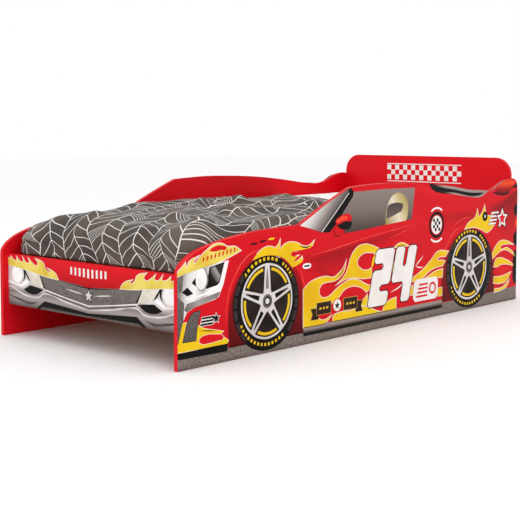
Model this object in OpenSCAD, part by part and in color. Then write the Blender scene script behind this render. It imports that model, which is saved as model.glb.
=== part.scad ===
// Toddler bed with side panels cut to the outline of a racing car.
// +Z is up, the nose of the car (the foot end) points to -Y, and the origin is on the floor
// below the middle of the bed. Painted boards, pine slats and rails, foam mattress and bedding.

/* [Mattress] */
// Width of the foam mattress
mattress_w = 700; // [560:10:900]
// Length of the foam mattress
mattress_l = 1500; // [1250:10:1900]
// Thickness of the foam mattress
mattress_t = 120; // [100:5:150]
// Radius of the mattress's top and bottom edges
mattress_edge_r = 28; // [15:1:35]
// Radius of the mattress's upright corners
mattress_corner_r = 40; // [20:1:60]

/* [Boards] */
// Thickness of the painted boards
board_t = 12; // [12:1:18]
// Gap between the mattress and each side panel
side_gap = 8; // [7:1:15]
// Gap between the mattress and each end board
end_gap = 24; // [20:1:40]
// How far the side panels reach past each end board
end_setback = 20; // [10:1:40]
// Lower edge of the bumper board above the floor
bumper_low = 89; // [70:1:110]
// Upper edge of the bumper board above the floor
bumper_high = 235; // [232:1:290]
// Lower edge of the headboard above the floor
head_low = 89; // [70:1:110]
// Upper edge of the headboard above the floor
head_high = 490; // [440:5:600]
// Radius of the headboard's upper corners
head_corner_r = 60; // [30:5:90]

/* [Side panel outline] */
// Height of the bonnet where it meets the windscreen
bonnet_h = 332; // [300:1:400]
// Height of the top of the windscreen pillar
pillar_h = 426; // [400:1:510]
// Highest point of the roof
roof_h = 431; // [410:1:520]
// Lowest point of the rear deck, ahead of the spoiler
deck_h = 386; // [360:1:460]
// Height of the spoiler at the tail
tail_h = 422; // [400:1:500]
// Distance from the nose to the foot of the windscreen
windscreen_foot = 458; // [360:2:560]
// Length of the windscreen along the bed
windscreen_l = 220; // [180:2:270]
// Distance from the tail to the lowest point of the rear deck
deck_from_tail = 206; // [170:2:260]

/* [Slatted base] */
// Height of the top of the slats above the floor
slat_top = 228; // [224:1:231]
// Thickness of a slat
slat_t = 12; // [10:1:16]
// Width of a slat
slat_w = 65; // [50:1:80]
// Number of slats
slat_count = 13; // [10:1:14]
// Gap between a slat's end and the side panel
slat_side_gap = 3; // [2:1:8]
// Gap between the outer slats and the end boards
slat_end_gap = 8; // [3:1:20]
// Thickness of the rails that carry the slats
rail_t = 20; // [18:1:28]
// Height of the rails and of the middle beam
rail_h = 40; // [34:1:50]
// Width of the middle beam and of the leg under it
beam_w = 45; // [40:1:60]
// Thickness of the glide under the leg
glide_t = 4; // [3:1:8]
// Diameter of the glide under the leg
glide_d = 32; // [24:1:38]

/* [Knock-down fittings] */
// Diameter of a cam
cam_d = 15; // [12:1:16]
// Height of a cam
cam_h = 9.2; // [8:0.1:9.4]
// Distance from a board's end to the middle of its cam
cam_inset = 24; // [20:1:34]
// Distance from a cam to the edge or rail next to it
cam_edge_gap = 20; // [16:1:24]
// Depth of the highest cam of the headboard below the top of the spoiler
cam_tail_drop = 52; // [40:1:80]
// Diameter of a cam bolt
bolt_d = 5; // [4:0.5:6]
// Diameter of the head of a cam bolt
bolt_head_d = 6.4; // [6.2:0.1:6.8]
// Depth that a cam bolt or a dowel reaches into the side panel
panel_grip = 8; // [6:0.5:9]
// Diameter of a wooden dowel
dowel_d = 6; // [5:0.5:7]
// Length of a dowel inside the end board
dowel_grip = 20; // [16:1:30]
// Distance from the bumper's upper edge to its upper dowel
dowel_edge_gap = 10; // [8:1:14]
// Diameter of a cam's cover cap
cap_d = 18; // [17:0.5:20]
// Thickness of a cam's cover cap
cap_t = 1.2; // [1:0.1:2]

/* [Screws and brackets] */
// Diameter of the wood screws
screw_d = 3.5; // [3:0.5:4]
// Diameter of the heads of the wood screws
screw_head_d = 7; // [6:0.5:8]
// Depth that a screw bites into the piece behind
screw_bite = 8; // [6:0.5:9]
// Depth that a slat screw bites into its rail
slat_screw_bite = 20; // [15:1:25]
// Diameter of the two screws that hold the leg
leg_screw_d = 5; // [4:0.5:6]
// Length of the two screws that hold the leg
leg_screw_l = 80; // [70:5:100]
// Distance between the two screws that hold the leg
leg_screw_pitch = 24; // [20:1:26]
// Length of each arm of an angle bracket
bracket_arm = 30; // [26:1:36]
// Height of an angle bracket
bracket_h = 24; // [20:1:30]
// Thickness of an angle bracket's steel
bracket_t = 2; // [1.5:0.5:3]

/* [Bedding] */
// Thickness of the fitted sheet as a solid
sheet_t = 1; // [0.8:0.1:1.5]
// Width of the sheet's hem that turns under the mattress
sheet_hem = 60; // [40:5:90]
// Thickness of the duvet where it lies flat
duvet_t = 14; // [10:1:30]
// Distance from the headboard to the duvet's head edge
duvet_head_gap = 345; // [250:5:500]
// Gap between the duvet and the boards around it
duvet_gap = 1.5; // [1:0.5:3]
// How far the duvet stops above the slats where it is tucked in
duvet_tuck = 5; // [3:1:20]

/* [Fits] */
// Gap between soft pieces that lie on each other
soft_gap = 0.4; // [0.3:0.1:1]
// Gap between a fitting and the wall of its hole
hole_gap = 0.05; // [0.03:0.01:0.1]
// Extra depth at the bottom of a blind hole
hole_extra = 0.5; // [0.3:0.1:0.8]

/* [Hidden] */
outer_w = mattress_w + 2 * side_gap + 2 * board_t;
inner_w = mattress_w + 2 * side_gap;
inner_l = mattress_l + 2 * end_gap;
outer_l = inner_l + 2 * board_t + 2 * end_setback;

wall_x = inner_w / 2;                   // inner face of a side panel
nose_y = -outer_l / 2;
tail_y = outer_l / 2;
foot_y = -inner_l / 2;                  // inner face of the bumper board
head_y = inner_l / 2;                   // front face of the headboard
head_back_y = head_y + board_t;

rail_top = slat_top - slat_t;
rail_low = rail_top - rail_h;
rail_mid = rail_top - rail_h / 2;
rail_x = wall_x - rail_t;               // inner face of a side rail
cross_l = inner_w - 2 * rail_t;         // length of the rails across the bed
foot_rail_y = foot_y + rail_t;          // inner face of the foot rail
head_rail_y = head_y - rail_t;          // inner face of the head rail

slat_first_y = foot_y + slat_end_gap + slat_w / 2;
slat_last_y = head_y - slat_end_gap - slat_w / 2;
slat_pitch = (slat_last_y - slat_first_y) / (slat_count - 1);
slat_screw_x = wall_x - rail_t / 2;

cut = 1;                                // how far a cutting shape runs past a face
true_round = 64;

// Front curve of the bonnet: distance behind the nose, and drop below bonnet_h.
nose_curve = [[0, 100], [4, 82], [20, 64], [54, 44], [106, 29], [206, 12], [326, 3]];
// Roof curve from pillar to rear deck: share of the way, and share of the rise above deck_h.
roof_curve = [[0.18, 1], [0.34, 0.96], [0.53, 0.8], [0.73, 0.47], [0.88, 0.14], [1, 0]];
// Spoiler: distance ahead of the tail, and share of the rise from deck_h to tail_h.
spoiler_curve = [[150, 0.24], [101, 0.76], [56, 0.98], [20, 0.88], [5, 0.5]];
spoiler_edge = 45;                      // drop from tail_h to the top of the tail's straight edge
curve_steps = 5;

windscreen_y = nose_y + windscreen_foot;
pillar_y = windscreen_y + windscreen_l;
deck_y = tail_y - deck_from_tail;
bulge = 3;                              // how far the windscreen bows out

// Corner joints. Each site is the rear face of the end board and a height.
bumper_cams_z = [bumper_low + cam_edge_gap, rail_low - cam_edge_gap];
head_cams_low = head_low + cam_edge_gap;
head_cams_high = tail_h - cam_tail_drop;
head_cams_z = [head_cams_low, (head_cams_low + head_cams_high) / 2, head_cams_high];
bumper_dowels_z = [(bumper_cams_z[0] + bumper_cams_z[1]) / 2, bumper_high - dowel_edge_gap];
head_dowels_z = [(head_cams_z[0] + head_cams_z[1]) / 2, (head_cams_z[1] + head_cams_z[2]) / 2];
bumper_cams = [for (z = bumper_cams_z) [foot_y, z]];
head_cams = [for (z = head_cams_z) [head_back_y, z]];
bumper_dowels = [for (z = bumper_dowels_z) [foot_y, z]];
head_dowels = [for (z = head_dowels_z) [head_back_y, z]];
pocket_d = cam_d + 2 * hole_gap;
pocket_depth = cam_h + hole_extra;
bolt_bore_d = bolt_head_d + 4 * hole_gap;

// Side rails are screwed on between the slats, at every second gap.
rail_screws_y = [for (i = [0 : 2 : slat_count - 2]) slat_first_y + (i + 0.5) * slat_pitch];
rail_screw_l = rail_t + screw_bite;
cross_screw_margin = 60;                // from a cross rail's end to its outer screw
cross_screw_pitch = (cross_l - 2 * cross_screw_margin) / 3;
cross_screws_x = [for (i = [0 : 3]) -cross_l / 2 + cross_screw_margin + i * cross_screw_pitch];
leg_screw_sink = 4;                     // depth of a leg screw's head below the beam's top
bracket_screw_l = 14;
bracket_hole_at = 0.62 * bracket_arm;   // hole past the middle of each arm, from the corner
screw_lip = 0.5;                        // height of the straight rim of a screw's head
leg_screw_head_d = 2 * leg_screw_d;
nail_d = 3;                             // the nail of the glide
nail_l = 14;

sheet_low = slat_top + soft_gap;
mattress_low = sheet_low + sheet_t + soft_gap;
mattress_mid = mattress_low + mattress_t / 2;
sheet_grow = soft_gap + sheet_t;
duvet_bed_grow = sheet_grow + soft_gap; // the room the duvet leaves for mattress and sheet
duvet_top = mattress_low + mattress_t + duvet_bed_grow + duvet_t;
duvet_half_w = wall_x - duvet_gap;
duvet_foot = foot_y + duvet_gap;
duvet_head = head_y - duvet_head_gap;
duvet_edge_r = mattress_edge_r + 8;     // a little softer than the mattress's edge
duvet_low = slat_top + duvet_tuck;

board_red = "#c8121e";
pine = "#dcb987";
steel = "#b9bcc0";

function slat_name(i) = str("slat_", i < 9 ? "0" : "", i + 1);
SLATS = [for (i = [0 : slat_count - 1]) slat_name(i)];

// A smooth curve through the points p, with curve_steps pieces between neighbours.
function smooth(p) = [for (i = [0 : len(p) - 2], s = [0 : curve_steps - 1])
    let (a = p[max(i - 1, 0)], b = p[i], c = p[i + 1], d = p[min(i + 2, len(p) - 1)],
         t = s / curve_steps)
    (2 * b + (c - a) * t + (2 * a - 5 * b + 4 * c - d) * t ^ 2 + (3 * b - a - 3 * c + d) * t ^ 3) / 2];

// The outline of a side panel, as length and height.
bonnet_points = concat([for (k = nose_curve) [nose_y + k[0], bonnet_h - k[1]]],
    [[windscreen_y, bonnet_h]]);
windscreen_points = [[windscreen_y, bonnet_h],
    [windscreen_y + windscreen_l * 0.5, (bonnet_h + pillar_h) / 2 + bulge], [pillar_y, pillar_h]];
roof_points = concat([[pillar_y, pillar_h]],
    [for (k = roof_curve)
        [pillar_y + (deck_y - pillar_y) * k[0], deck_h + (roof_h - deck_h) * k[1]]],
    [for (k = spoiler_curve) [tail_y - k[0], deck_h + (tail_h - deck_h) * k[1]]],
    [[tail_y, tail_h - spoiler_edge]]);
panel_outline = concat([[nose_y, 0]], smooth(bonnet_points), smooth(windscreen_points),
    smooth(roof_points), [[tail_y, tail_h - spoiler_edge], [tail_y, 0]]);

// Extrudes a length-and-height outline along X, from x0 for a distance t.
module across(x0, t) {
    translate([x0, 0, 0]) rotate([90, 0, 90]) linear_extrude(t) children();
}

// Extrudes a width-and-height outline forwards by t from the rear face at y.
module along(y, t) {
    translate([0, y, 0]) rotate([90, 0, 0]) linear_extrude(t) children();
}

// A round bar or bore along X.
module bar_x(x0, x1, d, y, z) {
    translate([x0, y, z]) rotate([0, 90, 0]) cylinder(d = d, h = x1 - x0, $fn = true_round);
}

module both_sides() {
    children();
    mirror([1, 0, 0]) children();
}

// A countersunk wood screw. Its head is level with z = 0, and it points down.
module screw(d, head_d, l) {
    point_l = d;
    tip_r = 0.3;
    slot_l = 0.56 * head_d;
    slot_w = 0.8;
    slot_depth = 1.4;
    difference() {
        rotate_extrude($fn = true_round)
            polygon([[0, 0], [head_d / 2, 0], [head_d / 2, -screw_lip],
                [d / 2, -screw_lip - (head_d - d) / 2], [d / 2, point_l - l], [tip_r, -l], [0, -l]]);
        for (a = [0, 90])
            rotate([0, 0, a]) translate([-slot_l / 2, -slot_w / 2, -slot_depth])
                cube([slot_l, slot_w, slot_depth + cut]);
    }
}

// The hole for a countersunk screw, open above z = 0.
module screw_hole(d, head_d, l) {
    lip = screw_lip + hole_gap;
    r = d / 2 + hole_gap;
    head_r = head_d / 2 + hole_gap;
    rotate_extrude($fn = true_round)
        polygon([[0, cut], [head_r, cut], [head_r, -lip], [r, -lip - (head_r - r)],
            [r, -l - hole_extra], [0, -l - hole_extra]]);
}

// Places children at each side rail screw of the right-hand side, pointing into the panel.
module at_rail_screws() {
    for (y = rail_screws_y) translate([rail_x, y, rail_mid]) rotate([0, -90, 0]) children();
}

// Places children at each screw through the foot rail and the head rail.
module at_foot_screws() {
    for (x = cross_screws_x) translate([x, foot_rail_y, rail_mid]) rotate([-90, 0, 0]) children();
}

module at_head_screws() {
    for (x = cross_screws_x) translate([x, head_rail_y, rail_mid]) rotate([90, 0, 0]) children();
}

// Places children at the head of the screws of slat i.
module at_slat_screws(i) {
    for (side = [-1, 1])
        translate([side * slat_screw_x, slat_first_y + i * slat_pitch, slat_top]) children();
}

module at_leg_screws() {
    for (side = [-1, 1])
        translate([side * leg_screw_pitch / 2, 0, rail_top - leg_screw_sink]) children();
}

// Places children at the inner corner of each angle bracket, arms along +X and +Y.
module at_brackets() {
    both_sides() {
        translate([beam_w / 2, foot_rail_y, rail_mid]) children();
        translate([beam_w / 2, head_rail_y, rail_mid]) mirror([0, 1, 0]) children();
    }
}

// Places children at both screws of a bracket, pointing into the wood.
module at_bracket_holes() {
    translate([bracket_hole_at, bracket_t, 0]) rotate([-90, 0, 0]) children();
    translate([bracket_t, bracket_hole_at, 0]) rotate([0, 90, 0]) children();
}

// Bores of the corner joints in the right-hand side panel.
module panel_joint_bores() {
    depth = panel_grip + hole_extra;
    for (site = concat(bumper_cams, head_cams))
        bar_x(wall_x - cut, wall_x + depth, bolt_d + 2 * hole_gap, site[0] - board_t / 2, site[1]);
    for (site = concat(bumper_dowels, head_dowels))
        bar_x(wall_x - cut, wall_x + depth, dowel_d + 2 * hole_gap, site[0] - board_t / 2, site[1]);
}

// Bores and cam pockets in the right-hand end of an end board.
module board_joint_bores(cams, dowels) {
    for (site = cams) {
        bar_x(wall_x - cam_inset, wall_x + cut, bolt_bore_d, site[0] - board_t / 2, site[1]);
        translate([wall_x - cam_inset, site[0] + cut, site[1]]) rotate([90, 0, 0])
            cylinder(d = pocket_d, h = pocket_depth + cut, $fn = true_round);
    }
    for (site = dowels)
        bar_x(wall_x - dowel_grip - hole_extra, wall_x + cut, dowel_d + 2 * hole_gap,
            site[0] - board_t / 2, site[1]);
}

module side_panel() {
    color(board_red) difference() {
        across(wall_x, board_t) polygon(panel_outline);
        panel_joint_bores();
        at_rail_screws() screw_pilot(rail_screw_l);
    }
}

module screw_pilot(l) {
    translate([0, 0, -l - hole_extra]) cylinder(d = screw_d + 2 * hole_gap, h = l, $fn = true_round);
}

module side_panel_right() side_panel();
module side_panel_left() mirror([1, 0, 0]) side_panel();

module headboard() {
    color(board_red) difference() {
        along(head_back_y, board_t) {
            translate([-wall_x, head_low]) square([inner_w, head_high - head_corner_r - head_low]);
            translate([-wall_x + head_corner_r, head_low])
                square([inner_w - 2 * head_corner_r, head_high - head_low]);
            for (side = [-1, 1])
                translate([side * (wall_x - head_corner_r), head_high - head_corner_r])
                    circle(r = head_corner_r, $fn = true_round);
        }
        both_sides() board_joint_bores(head_cams, head_dowels);
        at_head_screws() screw_pilot(rail_screw_l);
    }
}

module bumper_panel() {
    color(board_red) difference() {
        along(foot_y, board_t)
            translate([-wall_x, bumper_low]) square([inner_w, bumper_high - bumper_low]);
        both_sides() board_joint_bores(bumper_cams, bumper_dowels);
        at_foot_screws() screw_pilot(rail_screw_l);
    }
}

module side_rail() {
    color(pine) difference() {
        translate([rail_x, foot_y, rail_low]) cube([rail_t, inner_l, rail_h]);
        at_rail_screws() mirror([0, 0, 1]) rail_hole();
        for (i = [0 : slat_count - 1]) at_slat_screws(i) screw_pilot(slat_t + slat_screw_bite);
    }
}

// A through hole in a rail, countersunk at its inner face, along +Z from z = 0.
module rail_hole() {
    mirror([0, 0, 1]) screw_hole(screw_d, screw_head_d, rail_screw_l);
}

module side_rail_right() side_rail();
module side_rail_left() mirror([1, 0, 0]) side_rail();

module cross_rail(y) {
    translate([-cross_l / 2, y, rail_low]) cube([cross_l, rail_t, rail_h]);
}

module head_rail() {
    color(pine) difference() {
        cross_rail(head_rail_y);
        at_head_screws() screw_hole(screw_d, screw_head_d, rail_screw_l);
        at_brackets() at_bracket_holes() screw_pilot(bracket_screw_l);
    }
}

module foot_rail() {
    color(pine) difference() {
        cross_rail(foot_y);
        at_foot_screws() screw_hole(screw_d, screw_head_d, rail_screw_l);
        at_brackets() at_bracket_holes() screw_pilot(bracket_screw_l);
    }
}

module centre_beam() {
    color(pine) difference() {
        translate([-beam_w / 2, foot_rail_y, rail_low])
            cube([beam_w, head_rail_y - foot_rail_y, rail_h]);
        at_leg_screws() leg_screw_hole();
        at_brackets() at_bracket_holes() screw_pilot(bracket_screw_l);
    }
}

module leg_screw_hole() {
    screw_hole(leg_screw_d, leg_screw_head_d, leg_screw_l);
    cylinder(d = leg_screw_head_d + 2 * hole_gap, h = leg_screw_sink + cut, $fn = true_round);
}

module centre_leg() {
    color(pine) difference() {
        translate([-beam_w / 2, -beam_w / 2, glide_t]) cube([beam_w, beam_w, rail_low - glide_t]);
        at_leg_screws() leg_screw_hole();
        cylinder(d = nail_d + 2 * hole_gap, h = glide_t + nail_l + hole_extra, $fn = true_round);
    }
}

// A round plastic glide with a soft lower edge and its nail, which goes up into the leg.
module leg_glide() {
    edge = 1.2;
    point_l = 2;
    tip_r = 0.3;
    color("#2b2b2c") rotate_extrude($fn = true_round)
        polygon([[0, 0], [glide_d / 2 - edge, 0], [glide_d / 2, edge], [glide_d / 2, glide_t],
            [nail_d / 2, glide_t], [nail_d / 2, glide_t + nail_l - point_l],
            [tip_r, glide_t + nail_l], [0, glide_t + nail_l]]);
}

module slat(i) {
    color(pine) difference() {
        translate([-wall_x + slat_side_gap, slat_first_y + i * slat_pitch - slat_w / 2, rail_top])
            cube([inner_w - 2 * slat_side_gap, slat_w, slat_t]);
        at_slat_screws(i) screw_hole(screw_d, screw_head_d, slat_t + slat_screw_bite);
    }
}

module angle_brackets() {
    color(steel) at_brackets() difference() {
        translate([0, 0, -bracket_h / 2]) union() {
            cube([bracket_arm, bracket_t, bracket_h]);
            cube([bracket_t, bracket_arm, bracket_h]);
        }
        at_bracket_holes()
            translate([0, 0, -bracket_t - cut])
                cylinder(d = screw_d + 4 * hole_gap, h = bracket_t + 2 * cut, $fn = true_round);
    }
}

// The bolt that screws into a side panel and is gripped by a cam.
module cam_bolts() {
    head_l = 3;
    head_end = wall_x - cam_inset + 1;  // just past the middle of the cam
    color(steel) both_sides() for (site = concat(bumper_cams, head_cams)) {
        bar_x(head_end, wall_x + panel_grip, bolt_d, site[0] - board_t / 2, site[1]);
        bar_x(head_end, head_end + head_l, bolt_head_d, site[0] - board_t / 2, site[1]);
    }
}

// The round cam in each pocket, with a way in for the bolt's head and a cross slot.
module cam_locks() {
    slot_l = 9;
    slot_w = 1.4;
    slot_depth = 0.8;
    color(steel) both_sides() for (site = concat(bumper_cams, head_cams)) difference() {
        translate([wall_x - cam_inset, site[0] - hole_extra, site[1]]) rotate([90, 0, 0])
            cylinder(d = cam_d, h = cam_h, $fn = true_round);
        bar_x(wall_x - cam_inset, wall_x, bolt_bore_d, site[0] - board_t / 2, site[1]);
        for (a = [45, 135])
            translate([wall_x - cam_inset, site[0] - hole_extra, site[1]]) rotate([90, a, 0])
                translate([-slot_l / 2, -slot_w / 2, -cut]) cube([slot_l, slot_w, slot_depth + cut]);
    }
}

module cam_caps() {
    rim = 0.4;
    color(board_red) both_sides() for (site = concat(bumper_cams, head_cams))
        translate([wall_x - cam_inset, site[0], site[1]]) rotate([-90, 0, 0])
            rotate_extrude($fn = true_round)
                polygon([[0, 0], [cap_d / 2, 0], [cap_d / 2, cap_t - rim], [cap_d / 2 - rim, cap_t],
                    [0, cap_t]]);
}

module wooden_dowels() {
    color("#e6cfa0") both_sides() for (site = concat(bumper_dowels, head_dowels))
        bar_x(wall_x - dowel_grip, wall_x + panel_grip, dowel_d, site[0] - board_t / 2, site[1]);
}

module rail_screws() {
    color(steel) {
        both_sides() at_rail_screws() screw(screw_d, screw_head_d, rail_screw_l);
        at_foot_screws() screw(screw_d, screw_head_d, rail_screw_l);
        at_head_screws() screw(screw_d, screw_head_d, rail_screw_l);
    }
}

module slat_screws() {
    color(steel) for (i = [0 : slat_count - 1])
        at_slat_screws(i) screw(screw_d, screw_head_d, slat_t + slat_screw_bite);
}

module bracket_screws() {
    head_h = 2;
    color(steel) at_brackets() at_bracket_holes() {
        cylinder(d = screw_head_d, h = head_h, $fn = true_round);
        translate([0, 0, -bracket_screw_l]) cylinder(d = screw_d, h = bracket_screw_l, $fn = true_round);
    }
}

module leg_screws() {
    color(steel) at_leg_screws() screw(leg_screw_d, leg_screw_head_d, leg_screw_l);
}

// A rectangle with round corners, centred.
module rounded_rect(w, h, r) {
    square([w - 2 * r, h], center = true);
    square([w, h - 2 * r], center = true);
    for (x = [-1, 1], y = [-1, 1])
        translate([x * (w / 2 - r), y * (h / 2 - r)]) circle(r = r, $fn = true_round);
}

// The mattress's shape, grown by g on every side.
module cushion(g) {
    w = mattress_w + 2 * g;
    l = mattress_l + 2 * g;
    t = mattress_t + 2 * g;
    edge_r = mattress_edge_r + g;
    translate([0, 0, mattress_mid]) intersection() {
        translate([0, 0, -t / 2]) linear_extrude(t) rounded_rect(w, l, mattress_corner_r + g);
        translate([0, l / 2, 0]) rotate([90, 0, 0]) linear_extrude(l) rounded_rect(w, t, edge_r);
        translate([-w / 2, 0, 0]) rotate([90, 0, 90]) linear_extrude(w) rounded_rect(l, t, edge_r);
    }
}

module mattress() {
    color("#f1efe9") cushion(0);
}

// A thin shell over the mattress whose hem turns under it.
module fitted_sheet() {
    color("#f4f3f0") difference() {
        cushion(sheet_grow);
        cushion(soft_gap);
        translate([-mattress_w / 2 + sheet_hem, -mattress_l / 2 + sheet_hem, slat_top])
            cube([mattress_w - 2 * sheet_hem, mattress_l - 2 * sheet_hem, mattress_t / 2]);
    }
}

// The duvet lies on the sheet and is tucked in at the sides and at the foot end. Its inner walls
// go straight down from the middle of the mattress, so that it lifts off freely.
module duvet() {
    l = duvet_head - duvet_foot;
    h = duvet_top - duvet_low;
    color("#57504c") difference() {
        intersection() {
            translate([0, (duvet_head + duvet_foot) / 2, duvet_low]) linear_extrude(h)
                rounded_rect(2 * duvet_half_w, l, duvet_edge_r);
            translate([0, duvet_head, duvet_top - h]) rotate([90, 0, 0]) linear_extrude(l)
                rounded_rect(2 * duvet_half_w, 2 * h, duvet_edge_r);
            translate([-duvet_half_w, duvet_foot + l, duvet_top - h]) rotate([90, 0, 90])
                linear_extrude(2 * duvet_half_w) rounded_rect(2 * l, 2 * h, duvet_edge_r);
        }
        cushion(duvet_bed_grow);
        translate([0, 0, duvet_low - cut]) linear_extrude(mattress_mid - duvet_low + cut)
            rounded_rect(mattress_w + 2 * duvet_bed_grow, mattress_l + 2 * duvet_bed_grow,
                mattress_corner_r + duvet_bed_grow);
    }
}

side_panel_right();
side_panel_left();
headboard();
bumper_panel();
side_rail_right();
side_rail_left();
head_rail();
foot_rail();
centre_beam();
centre_leg();
leg_glide();
for (i = [0 : slat_count - 1]) slat(i);
angle_brackets();
cam_bolts();
cam_locks();
cam_caps();
wooden_dowels();
rail_screws();
slat_screws();
bracket_screws();
leg_screws();
mattress();
fitted_sheet();
duvet();
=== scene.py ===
"""Looks of a toddler bed with racing-car side panels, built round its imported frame."""
import math

import bmesh
import bpy
from mathutils import Matrix, Vector, noise


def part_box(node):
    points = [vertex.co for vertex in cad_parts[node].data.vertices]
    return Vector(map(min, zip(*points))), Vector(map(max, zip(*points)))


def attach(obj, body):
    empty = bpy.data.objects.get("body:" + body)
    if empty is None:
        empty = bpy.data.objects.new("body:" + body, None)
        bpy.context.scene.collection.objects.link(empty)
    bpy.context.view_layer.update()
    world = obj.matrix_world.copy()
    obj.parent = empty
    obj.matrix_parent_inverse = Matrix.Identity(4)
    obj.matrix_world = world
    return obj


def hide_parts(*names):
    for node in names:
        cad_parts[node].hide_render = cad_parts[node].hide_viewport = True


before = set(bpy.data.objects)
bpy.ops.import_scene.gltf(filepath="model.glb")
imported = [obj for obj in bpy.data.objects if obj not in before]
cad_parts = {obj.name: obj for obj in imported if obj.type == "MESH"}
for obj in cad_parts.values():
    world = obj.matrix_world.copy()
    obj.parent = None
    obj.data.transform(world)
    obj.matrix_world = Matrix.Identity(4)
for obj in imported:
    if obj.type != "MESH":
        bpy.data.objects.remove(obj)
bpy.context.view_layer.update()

MM = 0.001


# ---------------------------------------------------------------- places, from the frame

panel_low, panel_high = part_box("side_panel_right")
bumper_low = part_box("bumper_panel")[0]
head_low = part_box("headboard")[0]
mattress_low, mattress_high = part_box("mattress")
sheet_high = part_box("fitted_sheet")[1]
duvet_low, duvet_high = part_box("duvet")

# A board's printed face: a matrix from millimetres along, up and out to metres in the frame.
RIGHT = Matrix(((0, 0, MM, panel_high.x), (MM, 0, 0, 0), (0, MM, 0, 0), (0, 0, 0, 1)))
LEFT = Matrix(((0, 0, -MM, -panel_high.x), (MM, 0, 0, 0), (0, MM, 0, 0), (0, 0, 0, 1)))
BUMPER_MIDDLE = 5 * MM      # the bumper's print lies this far off its middle
BUMPER = Matrix(((MM, 0, 0, BUMPER_MIDDLE), (0, 0, -MM, bumper_low.y), (0, MM, 0, 0), (0, 0, 0, 1)))
HEADBOARD = Matrix(((MM, 0, 0, 0), (0, 0, -MM, head_low.y), (0, MM, 0, 0), (0, 0, 0, 1)))


# ---------------------------------------------------------------- materials

def linear(code):
    """A hex colour in sRGB as a linear RGBA value."""
    parts = [int(code[i:i + 2], 16) / 255 for i in (1, 3, 5)]
    return [c / 12.92 if c <= 0.04045 else ((c + 0.055) / 1.055) ** 2.4 for c in parts] + [1]


def add(mat, kind, *inputs, named=None, stops=None, **settings):
    """Adds a node, sets its properties and feeds its sockets, in order or by name."""
    made = mat.node_tree.nodes.new("ShaderNode" + kind)
    for key, value in settings.items():
        setattr(made, key, value)
    live = [s for s in made.inputs if s.enabled]
    for socket, value in [*zip(live, inputs), *((made.inputs[k], v) for k, v in (named or {}).items())]:
        if isinstance(value, str):
            value = linear(value)
        if isinstance(value, bpy.types.Node):
            value = next(s for s in value.outputs if s.enabled)
        if isinstance(value, bpy.types.NodeSocket):
            mat.node_tree.links.new(value, socket)
        elif value is not None:
            socket.default_value = value
    for i, (place, code) in enumerate(stops or []):
        points = made.color_ramp.elements
        point = points[i] if i < 2 else points.new(place)
        point.position = place
        point.color = linear(code)
    return made


def started(name):
    """A new material with its shader."""
    mat = bpy.data.materials.new(name)
    mat.use_nodes = True
    return mat


def finish(mat, color, roughness, normal=None, **more):
    """Feeds a material's shader. Colour, roughness and normal may be nodes, the rest are numbers."""
    shader = mat.node_tree.nodes["Principled BSDF"]
    fed = {"Base Color": color, "Roughness": roughness}
    if normal:
        fed["Normal"] = normal
    for key, value in fed.items():
        if isinstance(value, bpy.types.Node):
            out = next(s for s in value.outputs if s.enabled)
            mat.node_tree.links.new(out, shader.inputs[key])
        else:
            shader.inputs[key].default_value = linear(value) if isinstance(value, str) else value
    for key, value in more.items():
        shader.inputs[key.replace("_", " ").title().replace("Ior", "IOR")].default_value = value
    return mat


def painted_board():
    """MDF sprayed with satin red lacquer: even colour, faint orange peel, soft gloss."""
    mat = started("satin_red_lacquer_on_mdf")
    where = add(mat, "TexCoord").outputs["Object"]
    peel = add(mat, "TexNoise", where, named={"Scale": 260, "Detail": 2})
    drift = add(mat, "TexNoise", where, named={"Scale": 3, "Detail": 3})
    tone = add(mat, "ValToRGB", drift, stops=[(0.3, "#d60c1a"), (0.7, "#e2101e")])
    gloss = add(mat, "MapRange", drift, 0.3, 0.7, 0.34, 0.42)
    bump = add(mat, "Bump", named={"Strength": 0.12, "Distance": 0.2 * MM, "Height": peel})
    return finish(mat, tone, gloss, bump, specular_ior_level=0.12)


def printed_red():
    """Printed vinyl film. The artwork's airbrushed light and shade is stored on its points."""
    mat = started("printed_film_red")
    shade = add(mat, "Attribute", attribute_name="shade").outputs["Fac"]
    tone = add(mat, "ValToRGB", shade, stops=[
        (0.0, "#560408"), (1.0, "#f05848"), (0.22, "#8c0912"), (0.42, "#c00b19"), (0.5, "#d20c1b"),
        (0.62, "#e01722")])
    return finish(mat, tone, 0.3, film_bump(mat), specular_ior_level=0.07)


def film_bump(mat):
    """The faint unevenness of film laid on board, about 6 mm across."""
    where = add(mat, "TexCoord").outputs["Object"]
    ripple = add(mat, "TexNoise", where, named={"Scale": 160, "Detail": 3})
    return add(mat, "Bump", named={"Strength": 0.05, "Distance": 0.3 * MM, "Height": ripple})


def printed(name, light, dark, size=90, roughness=0.3):
    """Printed film in an airbrushed colour that drifts between two tones over size millimetres."""
    mat = started("printed_film_" + name)
    where = add(mat, "TexCoord").outputs["Object"]
    drift = add(mat, "TexNoise", where, named={"Scale": 1000 / size, "Detail": 2})
    tone = add(mat, "ValToRGB", drift, stops=[(0.35, dark), (0.6, light)])
    return finish(mat, tone, roughness, film_bump(mat), specular_ior_level=0.07)


def printed_fade(name, start, end, stops):
    """Printed film whose colours run from one point of the frame to another, in millimetres."""
    mat = started("printed_film_" + name)
    a, b = Vector(start) * MM, Vector(end) * MM
    along = (b - a) / (b - a).length_squared
    where = add(mat, "TexCoord").outputs["Object"]
    there = add(mat, "VectorMath", where, list(along), operation="DOT_PRODUCT").outputs["Value"]
    share = add(mat, "Math", there, a.dot(along), operation="SUBTRACT")
    tone = add(mat, "ValToRGB", share, stops=stops)
    return finish(mat, tone, 0.3, film_bump(mat), specular_ior_level=0.07)


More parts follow.
